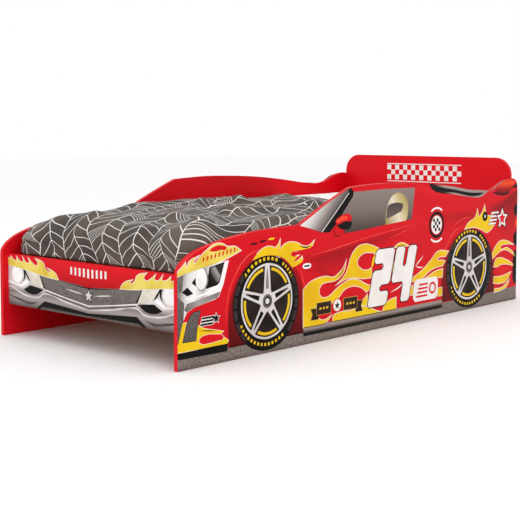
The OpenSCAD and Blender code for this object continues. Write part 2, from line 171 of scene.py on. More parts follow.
def printed_grain(name, light, dark, grain, low, high):
    """Printed film with a fine speckle of grain millimetres, darker towards the low edge."""
    mat = started("printed_film_" + name)
    where = add(mat, "TexCoord").outputs["Object"]
    speck = add(mat, "TexNoise", where, named={"Scale": 1000 / grain, "Detail": 2})
    height = add(mat, "SeparateXYZ", where).outputs["Z"]
    fade = add(mat, "MapRange", height, low * MM, high * MM, 0, 1)
    mixed = add(mat, "Math", speck, fade, operation="MULTIPLY")
    tone = add(mat, "ValToRGB", mixed, stops=[(0.15, dark), (0.62, light)])
    return finish(mat, tone, 0.35, film_bump(mat), specular_ior_level=0.06)


def pine(name, turn):
    """Planed pine: growth rings seen as long grain lines about 7 mm apart, and darker knots."""
    mat = started(name)
    where = add(mat, "Mapping", add(mat, "TexCoord").outputs["Object"], None, turn)
    grain_space = add(mat, "Mapping", where, None, None, (1, 22, 22))
    rings = add(mat, "TexNoise", grain_space, named={"Scale": 6.5, "Detail": 4, "Distortion": 0.4})
    fibre = add(mat, "TexNoise", add(mat, "Mapping", where, None, None, (1, 40, 40)),
                named={"Scale": 30, "Detail": 3})
    wood = add(mat, "ValToRGB", rings, stops=[
        (0.32, "#c08a4e"), (0.75, "#e9c996"), (0.44, "#d9ac6c"), (0.56, "#e4bd84")])
    knot_space = add(mat, "Mapping", where, None, None, (1, 2.2, 2.2))
    knot = add(mat, "TexVoronoi", knot_space, named={"Scale": 5, "Randomness": 1})
    spot = add(mat, "MapRange", knot, 0.03, 0.075, 1, 0)
    tone = add(mat, "Mix", spot, wood, "#7a4a24", data_type="RGBA")
    bump = add(mat, "Bump", named={"Strength": 0.25, "Distance": 0.3 * MM, "Height": fibre})
    rough = add(mat, "MapRange", fibre, 0.3, 0.7, 0.5, 0.66)
    return finish(mat, tone, rough, bump)


def beech():
    """Turned beech dowel: pale, with short dark flecks."""
    mat = started("turned_beech")
    where = add(mat, "Mapping", add(mat, "TexCoord").outputs["Object"], None, None, (60, 400, 400))
    fleck = add(mat, "TexNoise", where, named={"Scale": 2, "Detail": 3})
    tone = add(mat, "ValToRGB", fleck, stops=[(0.35, "#b98a5c"), (0.6, "#dfbd92")])
    return finish(mat, tone, 0.55, add(mat, "Bump", named={"Strength": 0.2, "Height": fleck}))


def plated_steel():
    """Zinc-plated steel: bright grey with a fine spangle and a slightly blue passivation."""
    mat = started("zinc_plated_steel")
    spangle = add(mat, "TexVoronoi", add(mat, "TexCoord").outputs["Object"], named={"Scale": 900})
    tone = add(mat, "ValToRGB", spangle.outputs["Color"], stops=[(0.1, "#a9adb2"), (0.9, "#cfd3d8")])
    return finish(mat, tone, add(mat, "MapRange", spangle, 0, 0.6, 0.24, 0.4), metallic=1)


def cast_zinc():
    """Die-cast zinc: duller grey with the pits of the casting skin."""
    mat = started("die_cast_zinc")
    where = add(mat, "TexCoord").outputs["Object"]
    skin = add(mat, "TexNoise", where, named={"Scale": 1500, "Detail": 4})
    tone = add(mat, "ValToRGB", skin, stops=[(0.3, "#85888c"), (0.7, "#a4a7ab")])
    bump = add(mat, "Bump", named={"Strength": 0.3, "Distance": 0.1 * MM, "Height": skin})
    return finish(mat, tone, 0.45, bump, metallic=1)


def moulded(name, light, dark):
    """Moulded polyethylene: even colour with a fine spark-eroded texture."""
    mat = started(name)
    where = add(mat, "TexCoord").outputs["Object"]
    texture = add(mat, "TexNoise", where, named={"Scale": 1800, "Detail": 2})
    tone = add(mat, "ValToRGB", texture, stops=[(0.3, dark), (0.7, light)])
    bump = add(mat, "Bump", named={"Strength": 0.3, "Distance": 0.08 * MM, "Height": texture})
    return finish(mat, tone, 0.5, bump)


def woven(mat, uv, pitch, strength):
    """A plain weave of that thread pitch in millimetres, as a bump."""
    scale = math.pi / (pitch * MM)
    across = add(mat, "SeparateXYZ", uv)
    warp = add(mat, "Math", add(mat, "Math", across.outputs["X"], scale, operation="MULTIPLY"),
               operation="SINE")
    weft = add(mat, "Math", add(mat, "Math", across.outputs["Y"], scale, operation="MULTIPLY"),
               operation="SINE")
    thread = add(mat, "Math", warp, weft, operation="MULTIPLY")
    return add(mat, "Bump", named={"Strength": strength, "Distance": 0.25 * MM, "Height": thread})


def mattress_cover():
    """Knitted polyester ticking over foam: off-white, 2.5 mm ribs, coarser than real to show."""
    mat = started("knitted_mattress_cover")
    where = add(mat, "TexCoord").outputs["Object"]
    cloud = add(mat, "TexNoise", where, named={"Scale": 40, "Detail": 4})
    tone = add(mat, "ValToRGB", cloud, stops=[(0.3, "#dfddd6"), (0.7, "#efede7")])
    return finish(mat, tone, 0.85, woven(mat, where, 2.5, 0.5), sheen_weight=0.2)


def dotted_cotton():
    """White percale with dark dots 60 mm apart. The 1.2 mm weave is coarser than real."""
    mat = started("dotted_cotton_sheet")
    uv = add(mat, "TexCoord").outputs["UV"]
    rows = add(mat, "Mapping", uv, None, (0, 0, math.radians(45)))
    cell = add(mat, "VectorMath", rows, (1 / 0.06,) * 3, operation="MULTIPLY")
    part = add(mat, "VectorMath", cell, operation="FRACTION")
    centred = add(mat, "VectorMath", part, (0.5, 0.5, 0), operation="SUBTRACT")
    flat = add(mat, "VectorMath", centred, (1, 1, 0), operation="MULTIPLY")
    away = add(mat, "VectorMath", flat, operation="LENGTH").outputs["Value"]
    dot = add(mat, "MapRange", away, 0.075, 0.095, 1, 0)
    tone = add(mat, "Mix", dot, "#f3f2ef", "#3c3a3a", data_type="RGBA")
    return finish(mat, tone, 0.8, woven(mat, uv, 1.2, 0.35), specular_ior_level=0.2)


LEAF_HALF = 57 * MM     # from the rib of a printed leaf to its edge
VEIN_PITCH = 41 * MM


def leaf_satin():
    """Grey-brown cotton satin printed with white leaf veins, over the cloth's own UV in metres."""
    mat = started("leaf_print_satin")
    cloth_uv = add(mat, "TexCoord").outputs["UV"]
    uv = add(mat, "Mapping", cloth_uv, None, (0, 0, math.radians(-16))).outputs["Vector"]
    bend = add(mat, "TexNoise", uv, named={"Scale": 5, "Detail": 1.5})
    wobble = add(mat, "VectorMath", bend.outputs["Color"], (0.5, 0.5, 0.5), operation="SUBTRACT")
    wobble = add(mat, "VectorMath", wobble, (0.10, 0.10, 0), operation="MULTIPLY")
    place = add(mat, "SeparateXYZ", add(mat, "VectorMath", uv, wobble, operation="ADD"))
    column = add(mat, "Math", place.outputs["X"], 2 * LEAF_HALF, operation="DIVIDE")
    part = add(mat, "Math", column, operation="FRACT")
    number = add(mat, "Math", column, operation="FLOOR")
    # Distance from the rib in the middle of each leaf, in metres.
    off = add(mat, "Math", part, 0.5, operation="SUBTRACT")
    share = add(mat, "Math", off, operation="ABSOLUTE")
    from_rib = add(mat, "Math", share, 2 * LEAF_HALF, operation="MULTIPLY")
    to_edge = add(mat, "Math", LEAF_HALF, from_rib, operation="SUBTRACT")
    # Veins run up from the rib to the edge, at a pitch that drifts.
    rise = add(mat, "Math", from_rib, 0.8, place.outputs["Y"], operation="MULTIPLY_ADD")
    leaf = add(mat, "Math", rise, VEIN_PITCH, operation="DIVIDE")
    slow = add(mat, "TexNoise", uv, named={"Scale": 2.5, "Detail": 1})
    leaf = add(mat, "Math", slow, 2.4, leaf, operation="MULTIPLY_ADD")
    leaf = add(mat, "Math", number, 0.37, leaf, operation="MULTIPLY_ADD")
    # Some fields between two veins are filled with three more, close together.
    side = add(mat, "Math", off, 0, operation="GREATER_THAN")
    which = add(mat, "CombineXYZ", number, add(mat, "Math", leaf, operation="FLOOR"), side)
    chance = add(mat, "TexWhiteNoise", which).outputs["Value"]
    count = add(mat, "MapRange", add(mat, "Math", chance, 0.8, operation="GREATER_THAN"), 0, 1, 1, 4)
    veins = add(mat, "Math", leaf, count, operation="MULTIPLY")
    saw = add(mat, "Math", add(mat, "Math", veins, operation="FRACT"), 0.5, operation="SUBTRACT")
    near = add(mat, "Math", 0.5, add(mat, "Math", saw, operation="ABSOLUTE"), operation="SUBTRACT")
    pitch = add(mat, "Math", 0.8 * VEIN_PITCH, count, operation="DIVIDE")
    gap = add(mat, "Math", near, pitch, operation="MULTIPLY")
    nearest = add(mat, "Math", gap, add(mat, "Math", from_rib, to_edge, operation="MINIMUM"),
                  operation="MINIMUM")
    width = add(mat, "MapRange", count, 1, 4, 1.6 * MM, 0.9 * MM)
    vein = add(mat, "MapRange", add(mat, "Math", nearest, width, operation="DIVIDE"), 0.55, 1, 1, 0)
    mottle = add(mat, "TexNoise", uv, named={"Scale": 5, "Detail": 3})
    cloth = add(mat, "ValToRGB", mottle, stops=[(0.35, "#443d3a"), (0.68, "#685d55")])
    tone = add(mat, "Mix", vein, cloth, "#eeebe6", data_type="RGBA")
    return finish(mat, tone, 0.5, woven(mat, cloth_uv, 1.0, 0.2), specular_ior_level=0.06)


def studio_floor():
    """Matt white paper sweep."""
    mat = started("paper_sweep")
    tooth = add(mat, "TexNoise", add(mat, "TexCoord").outputs["Object"], named={"Scale": 60, "Detail": 2})
    return finish(mat, add(mat, "ValToRGB", tooth, stops=[(0.3, "#f9f9f9"), (0.7, "#fdfdfd")]), 0.9)


LACQUER = painted_board()
FILM_RED = printed_red()
FLAME = printed("flame_yellow", "#eec618", "#e2b112", 120)
PALE_FLAME = printed("pale_yellow", "#ecd66a", "#dcb838", 60)
WHITE = printed("white", "#f0ebe8", "#e8e2de", 60)
SILVER = printed("silver", "#dcd5d2", "#c8c0bc", 70)
GREY = printed("steel_grey", "#8f8884", "#6d6662", 50)
BLACK = printed("black", "#100c0c", "#070505", 60)
TYRE = printed("tyre_black", "#0d0a0a", "#060404", 60)
TREAD = printed("tread_brown", "#3a302f", "#2a2122", 20)
DEEP_RED = printed_fade("deep_red", (0, 0, 40), (0, 0, 270), [
    (0, "#560307"), (1, "#b40c18"), (0.35, "#7c060d")])
BRIGHT_RED = printed("bright_red", "#d9111d", "#c90c19", 80)
ROAD = printed_grain("asphalt", "#8f827b", "#0d0908", 3.5, -30, 12)
SILL = printed_fade("sill", (0, 0, 22), (0, 0, 49), [
    (0, "#0b0807"), (1, "#8d807a"), (0.34, "#0e0a09"), (0.42, "#4d4340"), (0.75, "#9b8e88")])
GRILLE = printed_grain("grille_mesh", "#7d7571", "#2b2624", 3, -300, 240)
RIM_DARK = printed("wheel_hollow", "#2e2220", "#150d0d", 60)
GLASS = printed_fade("side_window", (0, 0, 300), (0, 0, 415), [
    (0, "#4b3f3a"), (1, "#8d7f7a"), (0.5, "#7b6c66")])
SCREEN = printed_fade("windscreen", (0, -300, 395), (0, -215, 305), [
    (0, "#f6f3f2"), (1, "#2b2523"), (0.3, "#d8d2cf"), (0.6, "#8d8480"), (0.8, "#544b48")])
HELMET = printed_fade("helmet", (0, 45, 320), (0, 150, 390), [
    (0, "#a08c54"), (1, "#9c894f"), (0.45, "#e4d6c0"), (0.7, "#c7b57e")])
VISOR = printed_fade("visor", (0, 0, 325), (0, 0, 370), [(0, "#6a5a57"), (1, "#4d4140")])
LAMP = printed("lamp_white", "#fbfafa", "#ebe8e6", 30)
TAIL_LAMP = printed_fade("tail_lamp", (0, 720, 372), (0, 720, 418), [
    (0, "#5c0508"), (1, "#d8321e"), (0.35, "#b0100f"), (0.7, "#ee4a22")])
QUARTER = printed_fade("quarter_glass", (0, 300, 385), (0, 318, 425), [
    (0, "#8b7f7b"), (1, "#9a8e8a"), (0.18, "#16100f"), (0.6, "#1a1312"), (0.8, "#6a5e5a")])
CHROME = printed_fade("airbrushed_chrome", (0, 0, 88), (0, 0, 158), [
    (0, "#4e4644"), (1, "#b9b0ad"), (0.2, "#8b8280"), (0.42, "#a59b99"), (0.6, "#857b7a"),
    (0.78, "#c5bbb9"), (0.9, "#8f8684")])
LAMP_HOUSE = printed_fade("lamp_housing", (0, -806, 225), (0, -690, 205), [
    (0, "#4f4845"), (1, "#f3efed"), (0.12, "#8f8884"), (0.3, "#d9d4d1"), (0.55, "#f3f0ee"),
    (0.8, "#b9b2ae")])
LAMP_GLASS = printed_fade("lamp_glass", (0, -705, 205), (0, -645, 250), [
    (0, "#0f0a09"), (1, "#3a312e"), (0.35, "#1d1614"), (0.5, "#7d7572"), (0.62, "#a49d99"),
    (0.7, "#2c2422")])
LOW_LIP = printed_fade("lamp_lip", (0, -786, 140), (0, -650, 180), [
    (0, "#5d5653"), (1, "#77706d"), (0.4, "#a29b98"), (0.75, "#8c8582")])
BRIGHT_GLOW = printed("light_red", "#f0584c", "#e6322f", 60)
FILM_SHADOW = printed("shadow_red", "#a50c16", "#8e0911", 40)
TAIL_GLOW = printed("orange_glow", "#ff5a38", "#ee3a22", 30)
RIBBON = printed("ribbon_brown", "#3a241b", "#291710", 40)
CHROME_LIGHT = printed("chrome_light", "#e2dbd9", "#c9c0be", 60)
CHROME_SHADE = printed("chrome_shade", "#5e5553", "#463f3d", 60)
FILM_HOOD = printed_fade("hood_red", (0, 0, 172), (0, 0, 235), [
    (0, "#b30b16"), (1, "#e01420"), (0.4, "#cf0f1b")])
FINE_GRILLE = printed_grain("fine_grille", "#857d79", "#2d2725", 2.6, -200, 190)
MOUTH_MESH = printed_grain("mouth_mesh", "#6f6763", "#141010", 3.5, -120, 110)
CREAM = printed("cream", "#e9e2d4", "#d2c9ba", 40)
TICKING = mattress_cover()
SHEET = dotted_cotton()
SATIN = leaf_satin()


# ---------------------------------------------------------------- printed shapes

PRINT_STEP = 0.09   # how far each printed layer stands on the one below it, in millimetres
PRINT_THICK = 0.07
CURVE_STEPS = 5     # straight stretches between two points of a round outline
FILM_EDGE = 0.3 * MM    # the film is trimmed this far inside the board's edge
TIP = 1             # marks a sharp point of an outline
prints = {}


def turned_area(loop):
    """Twice the signed area of a loop of points."""
    return sum(a[0] * b[1] - b[0] * a[1] for a, b in zip(loop, loop[1:] + loop[:1]))


def flat_mesh(loops, grow, round_it):
    """A thin plate in millimetres: the first loop is its outline and the others are holes."""
    curve = bpy.data.curves.new("outline", "CURVE")
    curve.dimensions = "2D"
    curve.fill_mode = "BOTH"
    curve.extrude = PRINT_THICK / 2
    curve.offset = grow
    for number, loop in enumerate(loops):
        if (turned_area(loop) > 0) == (number == 0):
            loop = loop[::-1]
        line = curve.splines.new("BEZIER")
        line.bezier_points.add(len(loop) - 1)
        line.use_cyclic_u = True
        line.resolution_u = CURVE_STEPS if round_it else 1
        for point, spot in zip(line.bezier_points, loop):
            point.co = (spot[0], spot[1], 0)
            sharp = not round_it or len(spot) > 2
            point.handle_left_type = point.handle_right_type = "VECTOR" if sharp else "AUTO"
    holder = bpy.data.objects.new("outline", curve)
    bpy.context.scene.collection.objects.link(holder)
    solid = holder.evaluated_get(bpy.context.evaluated_depsgraph_get())
    mesh = bpy.data.meshes.new_from_object(solid)
    bpy.data.objects.remove(holder)
    bpy.data.curves.remove(curve)
    return mesh


def print_on(boards, mat, layer, *loops, round_it=True, grow=0):
    """Adds a shape to the artwork of one board or several."""
    mesh = flat_mesh([list(loop) for loop in loops], grow, round_it)
    for board in boards:
        prints.setdefault((board, mat.name), []).append((mesh, layer))


def edged(boards, mat, rim, layer, *loops, width=2.6, round_it=True):
    """A shape with a rim of another colour round it."""
    print_on(boards, rim, layer, *loops, grow=width, round_it=round_it)
    print_on(boards, mat, layer + 1, *loops, round_it=round_it)


def oval(u, v, ru, rv=None, start=0, points=10):
    """The points of an oval."""
    turns = [start + 2 * math.pi * i / points for i in range(points)]
    return [(u + ru * math.cos(a), v + (rv or ru) * math.sin(a)) for a in turns]


def arc_band(u, v, inner, outer, first, last):
    """A band between two arcs, from one angle to another in degrees."""
    count = max(3, round(abs(last - first) / 14))
    turns = [math.radians(first + (last - first) * i / count) for i in range(count + 1)]
    band = []
    for radius, order in ((outer, turns), (inner, turns[::-1])):
        for i, a in enumerate(order):
            spot = (u + radius * math.cos(a), v + radius * math.sin(a))
            band.append(spot + (TIP,) if i in (0, count) else spot)
    return band


def stroke(points, width, taper=True):
    """A line through the points as a band that narrows to its ends."""
    sides = ([], [])
    for i, (u, v) in enumerate(points):
        before, after = points[max(i - 1, 0)], points[min(i + 1, len(points) - 1)]
        along = Vector((after[0] - before[0], after[1] - before[1])).normalized()
        last = i in (0, len(points) - 1)
        half = width / 2 * (0.15 if last and taper else 1)
        mark = (TIP,) if last else ()
        for side, turn in zip(sides, (1, -1)):
            side.append((u - turn * along.y * half, v + turn * along.x * half) + mark)
    return sides[0] + sides[1][::-1]


def star(u, v, radius, points=5, inner=0.42):
    """A star with one point up."""
    turns = [math.pi / 2 + math.pi * i / points for i in range(2 * points)]
    return [(u + radius * (inner if i % 2 else 1) * math.cos(a),
             v + radius * (inner if i % 2 else 1) * math.sin(a)) for i, a in enumerate(turns)]


def box_at(u, v, width, height, lean=0):
    """A four-sided bar from its lower left corner. lean moves its top sideways."""
    return [(u, v), (u + width, v), (u + width + lean, v + height), (u + lean, v + height)]


def cut_corners(points, cut):
    """The outline with each corner cut off."""
    made = []
    for before, here, after in zip(points[-1:] + points[:-1], points, points[1:] + points[:1]):
        spot = Vector(here)
        for other in (before, after):
            step = Vector(other) - spot
            made.append(tuple(spot + step.normalized() * min(cut, step.length * 0.4)))
    return made


def leaning(points, u, v, lean):
    """Points moved to a place, with their tops pushed sideways."""
    return [(u + x + y * lean, v + y) for x, y in points]


SIDES = ("right", "left")
NUMBER_MIDDLE = 80      # the middle of the race number, in millimetres along the side


def car_base():
    """Road strip, sills, wheel arches and creases of the painted car."""
    print_on(SIDES, ROAD, 1, [(-806, 0), (806, 0), (806, 46), (740, 44), (600, 40), (-806, 34)],
             round_it=False)
    print_on(SIDES, BLACK, 2, [(-806, 44), (-627, 48), (-632, 26), (-799, 28), (-806, 30)],
             round_it=False)
    print_on(SIDES, SILL, 2, [(-332, 23), (346, 23), (346, 49), (-332, 49)], round_it=False)
    for low, rim, reach in (((-625, 36), 33, -332), ((346, 41), 41, 658)):
        middle = (low[0] + reach) / 2
        half = (reach - low[0]) / 2
        arch = [(low[0], rim, TIP), (low[0] - 2, 120), (low[0] + 18, 190), (middle - 70, 250),
                (middle, 268), (middle + 72, 248), (reach - 14, 186), (reach + 3, 120),
                (reach, rim, TIP)]
        print_on(SIDES, DEEP_RED, 1, arch)
        glow = [(low[0] - 12, 90), (low[0] - 6, 158), (low[0] + 20, 214), (middle - half * 0.55, 262),
                (middle - 30, 279)]
        print_on(SIDES, BRIGHT_GLOW, 1, stroke(glow, 3))
    for line, width in (
            ([(-350, 331), (-300, 318), (-253, 303), (-221, 300)], 2.5),
            ([(-164, 294), (-166, 244), (-176, 207), (-182, 148)], 1.6),
            ([(176, 315), (201, 298), (222, 265), (224, 223), (220, 190)], 1.6),
            ([(-470, 326), (-400, 322), (-350, 302), (-318, 276)], 1.2)):
        print_on(SIDES, DEEP_RED, 1, stroke(line, width))
    for line, width in (
            ([(-299, 244), (-199, 255), (-70, 273), (60, 287), (197, 300)], 2.4),
            ([(60, 264), (130, 280), (201, 296)], 1.6),
            ([(-345, 214), (-336, 190), (-328, 160), (-326, 120)], 2.2),
            ([(-806, 233), (-797, 255), (-770, 277), (-720, 298), (-640, 314), (-520, 326)], 2.2),
            ([(400, 262), (425, 286), (470, 300), (520, 304)], 2.2)):
        print_on(SIDES, BRIGHT_GLOW, 1, stroke(line, width))




def wheel(u, v, tyre_u, tyre_v, tyre_ru, tyre_rv, rim):
    """One painted wheel: tyre with tread blocks, rim, five double spokes, calliper bands and hub."""
    print_on(SIDES, TYRE, 3, oval(tyre_u, tyre_v, tyre_ru, tyre_rv, points=14))
    for turn in (-38, -22, -6, 10, 26, 142, 158, 174, 190, 206, 222):
        inner = tyre_ru * (0.87 if abs(turn) > 90 else 0.88)
        block = arc_band(tyre_u, tyre_v, inner, tyre_ru * 0.97, turn - 6.5, turn + 6.5)
        print_on(SIDES, TREAD, 4, block)
    for turns in ((68, 142, 9), (28, 60, 5), (206, 306, 14)):
        for i in range(turns[2]):
            first = turns[0] + (turns[1] - turns[0]) * (i + 0.15) / turns[2]
            last = turns[0] + (turns[1] - turns[0]) * (i + 0.68) / turns[2]
            print_on(SIDES, FLAME, 4, arc_band(u, v - 1, rim + 9, rim + 17.5, first, last))
    print_on(SIDES, SILVER, 4, oval(u, v, rim, points=14), oval(u, v, rim * 0.94, points=14))
    print_on(SIDES, RIM_DARK, 4, oval(u, v, rim * 0.94, points=14))
    print_on(SIDES, BLACK, 5, oval(u, v, rim * 0.93, points=14), oval(u, v, rim * 0.9, points=14))
    for k in range(5):
        turn = 90 + 72 * k
        print_on(SIDES, FLAME, 6, arc_band(u, v, rim * 0.82, rim * 0.9, turn + 11, turn + 61))
        a = math.radians(turn)
        out, side = Vector((math.cos(a), math.sin(a))), Vector((-math.sin(a), math.cos(a)))

        def spot(along, across):
            """A point of the spoke, as shares of the rim outwards and millimetres across."""
            return tuple(Vector((u, v)) + out * along * rim + side * across)

        spoke = [spot(0.1, -19), spot(0.3, -13.5), spot(0.93, -9), spot(0.98, -12), spot(0.98, 12),
                 spot(0.93, 9), spot(0.3, 13.5), spot(0.1, 19)]
        slot = [spot(0.33, -6.5), spot(0.5, -5.5), spot(0.86, -1.5), spot(0.86, 1.5),
                spot(0.5, 5.5), spot(0.33, 6.5)]
        print_on(SIDES, SILVER, 7, spoke, slot, round_it=False)
        print_on(SIDES, GREY if k == 0 else BLACK, 6, slot, round_it=False)
    print_on(SIDES, SILVER, 8, oval(u, v, 25))
    print_on(SIDES, BLACK, 9, oval(u, v, 18.5))
    print_on(SIDES, GREY, 10, oval(u, v, 16.5), oval(u, v, 13.5))
    print_on(SIDES, SILVER, 10, oval(u, v, 8))


def cabin():
    """Windscreen, side window with the driver's helmet, mirror and quarter window."""
    print_on(SIDES, SCREEN, 2, [(-348, 330, TIP), (-300, 352), (-232, 384), (-138, 421, TIP),
                                (-124, 423, TIP), (-114, 400, TIP), (-195, 321, TIP),
                                (-220, 303, TIP), (-253, 306, TIP), (-300, 318)])
    print_on(SIDES, BLACK, 3, [(-253, 305), (-221, 303), (-195, 321), (-114, 400), (-112, 415),
                               (-123, 423), (-134, 419), (-134, 411)], round_it=False)
    print_on(SIDES, WHITE, 4, stroke([(-254, 306), (-194, 357), (-134, 410)], 2.4, taper=False))
    window = [(-110, 412), (40, 414), (192, 412), (184, 360), (176, 316), (60, 309), (-60, 300),
              (-158, 295), (-195, 320)]
    print_on(SIDES, GLASS, 2, window, round_it=False)
    helmet = [(42, 307, TIP), (42, 330), (49, 357), (59, 377), (80, 394), (109, 400), (138, 390),
              (154, 372), (157, 344), (152, 322), (147, 314, TIP)]
    print_on(SIDES, HELMET, 3, helmet)
    visor = [(47, 324, TIP), (48, 342), (54, 362), (64, 367), (122, 368), (130, 364), (124, 346),
             (109, 340), (76, 331)]
    print_on(SIDES, VISOR, 4, visor)
    print_on(SIDES, FILM_SHADOW, 3, [(-195, 318), (-150, 296), (-158, 294), (-200, 292)])
    print_on(SIDES, BRIGHT_RED, 5, [(-196, 293, TIP), (-193, 322), (-176, 326), (-160, 312),
                                    (-157, 294, TIP)])
    print_on(SIDES, BLACK, 6, [(-189, 326), (-174, 311), (-150, 306), (-126, 310), (-123, 331),
                               (-150, 336)])
    print_on(SIDES, BRIGHT_RED, 7, [(-194, 329), (-180, 342), (-153, 350), (-126, 346),
                                    (-121, 333), (-150, 330)])
    print_on(SIDES, TAIL_GLOW, 8, [(-190, 331), (-175, 341), (-150, 345), (-140, 339), (-165, 333)])
    quarter = [(265, 422, TIP), (300, 418), (404, 407), (500, 393), (577, 388), (619, 384, TIP),
               (565, 366), (519, 368), (404, 382), (327, 390), (288, 401)]
    print_on(SIDES, QUARTER, 2, quarter)
    print_on(SIDES, BLACK, 3, [(285, 412, TIP), (404, 398), (500, 384), (590, 380, TIP), (555, 371),
                               (404, 388), (330, 396)])




def nose():
    """Headlamp group, nose grille and the yellow front corner."""
    band = [(-806, 234, TIP), (-740, 245), (-672, 255, TIP), (-640, 263), (-600, 275),
            (-582, 281, TIP), (-600, 292), (-630, 295), (-650, 304), (-677, 304), (-700, 294),
            (-727, 277), (-745, 262), (-750, 262), (-735, 278, TIP), (-765, 268), (-775, 256),
            (-778, 266, TIP), (-792, 254), (-805, 246, TIP)]
    edged(SIDES, PALE_FLAME, WHITE, 2, band, width=2)
    print_on(SIDES, BRIGHT_RED, 4, [(-697, 289, TIP), (-680, 298), (-650, 299), (-634, 291),
                                    (-655, 288), (-680, 286)])
    for i in range(9):
        print_on(SIDES, BRIGHT_RED, 4, box_at(-720 + 14 * i, 264 + 1.9 * i, 5, 11, 3),
                 round_it=False)
    print_on(SIDES, GRILLE, 2, [(-806, 232), (-785, 237), (-782, 196), (-806, 194)],
             round_it=False)
    frame_loop = [(-785, 238), (-672, 256), (-625, 260), (-645, 201), (-654, 184), (-663, 169),
                  (-674, 165), (-749, 152), (-774, 142), (-786, 123), (-782, 166), (-806, 184),
                  (-806, 194), (-790, 196)]
    print_on(SIDES, LAMP_HOUSE, 3, frame_loop, round_it=False)
    print_on(SIDES, LOW_LIP, 4, [(-783, 150), (-774, 164), (-656, 183), (-666, 168), (-749, 152),
                                 (-774, 143)], round_it=False)
    print_on(SIDES, LAMP, 4, stroke([(-778, 176), (-740, 178), (-690, 188), (-664, 198), (-650, 240)], 6))
    print_on(SIDES, BLACK, 4, [(-695, 248), (-641, 257), (-659, 206), (-668, 200), (-708, 194)],
             round_it=False)
    print_on(SIDES, LAMP_GLASS, 5, [(-690, 246), (-645, 254), (-662, 208), (-702, 200)], round_it=False)
    print_on(SIDES, BLACK, 4, [(-757, 214), (-745, 226), (-742, 204)], round_it=False)
    print_on(SIDES, GREY, 5, oval(-722, 220, 22, 29))
    print_on(SIDES, LAMP, 6, oval(-724, 221, 19, 27))
    print_on(SIDES, BLACK, 4, [(-791, 194), (-772, 205), (-752, 187), (-772, 183)], round_it=False)
    front_mesh = [(-806, 180), (-799, 180), (-782, 166), (-788, 120), (-804, 66), (-806, 66)]
    edged(SIDES, GRILLE, BLACK, 2, front_mesh, width=1.5, round_it=False)
    low_flame = [(-806, 46, TIP), (-806, 66, TIP), (-788, 118, TIP), (-775, 118, TIP), (-782, 95),
                 (-788, 70, TIP), (-743, 70, TIP), (-738, 108, TIP), (-722, 99), (-700, 92),
                 (-672, 86), (-645, 80, TIP), (-654, 72), (-640, 62), (-627, 54, TIP),
                 (-632, 46, TIP)]
    edged(SIDES, FLAME, WHITE, 2, low_flame, width=1)
    edged(SIDES, BRIGHT_RED, WHITE, 4, [(-732, 66), (-726, 74), (-706, 78), (-672, 75), (-648, 69),
                                        (-646, 63), (-668, 58), (-700, 56), (-724, 58)], width=1)
    vent = [(-788, 70), (-774, 114), (-761, 134), (-749, 140), (-728, 142), (-740, 94), (-743, 69)]
    edged(SIDES, GRILLE, BLACK, 4, vent, width=1.5, round_it=False)
    for i in range(3):
        edged(SIDES, BLACK, WHITE, 6, box_at(-729 + 3 * i, 103 + 8 * i, 44, 5, 2), width=1.4,
              round_it=False)
    edged(SIDES, BLACK, WHITE, 6, star(-672, 116, 13, inner=0.45), width=1.4, round_it=False)
    print_on(SIDES, BLACK, 4, stroke([(-733, 92), (-700, 88), (-668, 83)], 2.4))
    for i, mat in enumerate((BLACK, BLACK, FLAME)):
        print_on(SIDES, mat, 2, box_at(-545 + 34 * i, 292 + 4 * i, 22, 5, 6), round_it=False)


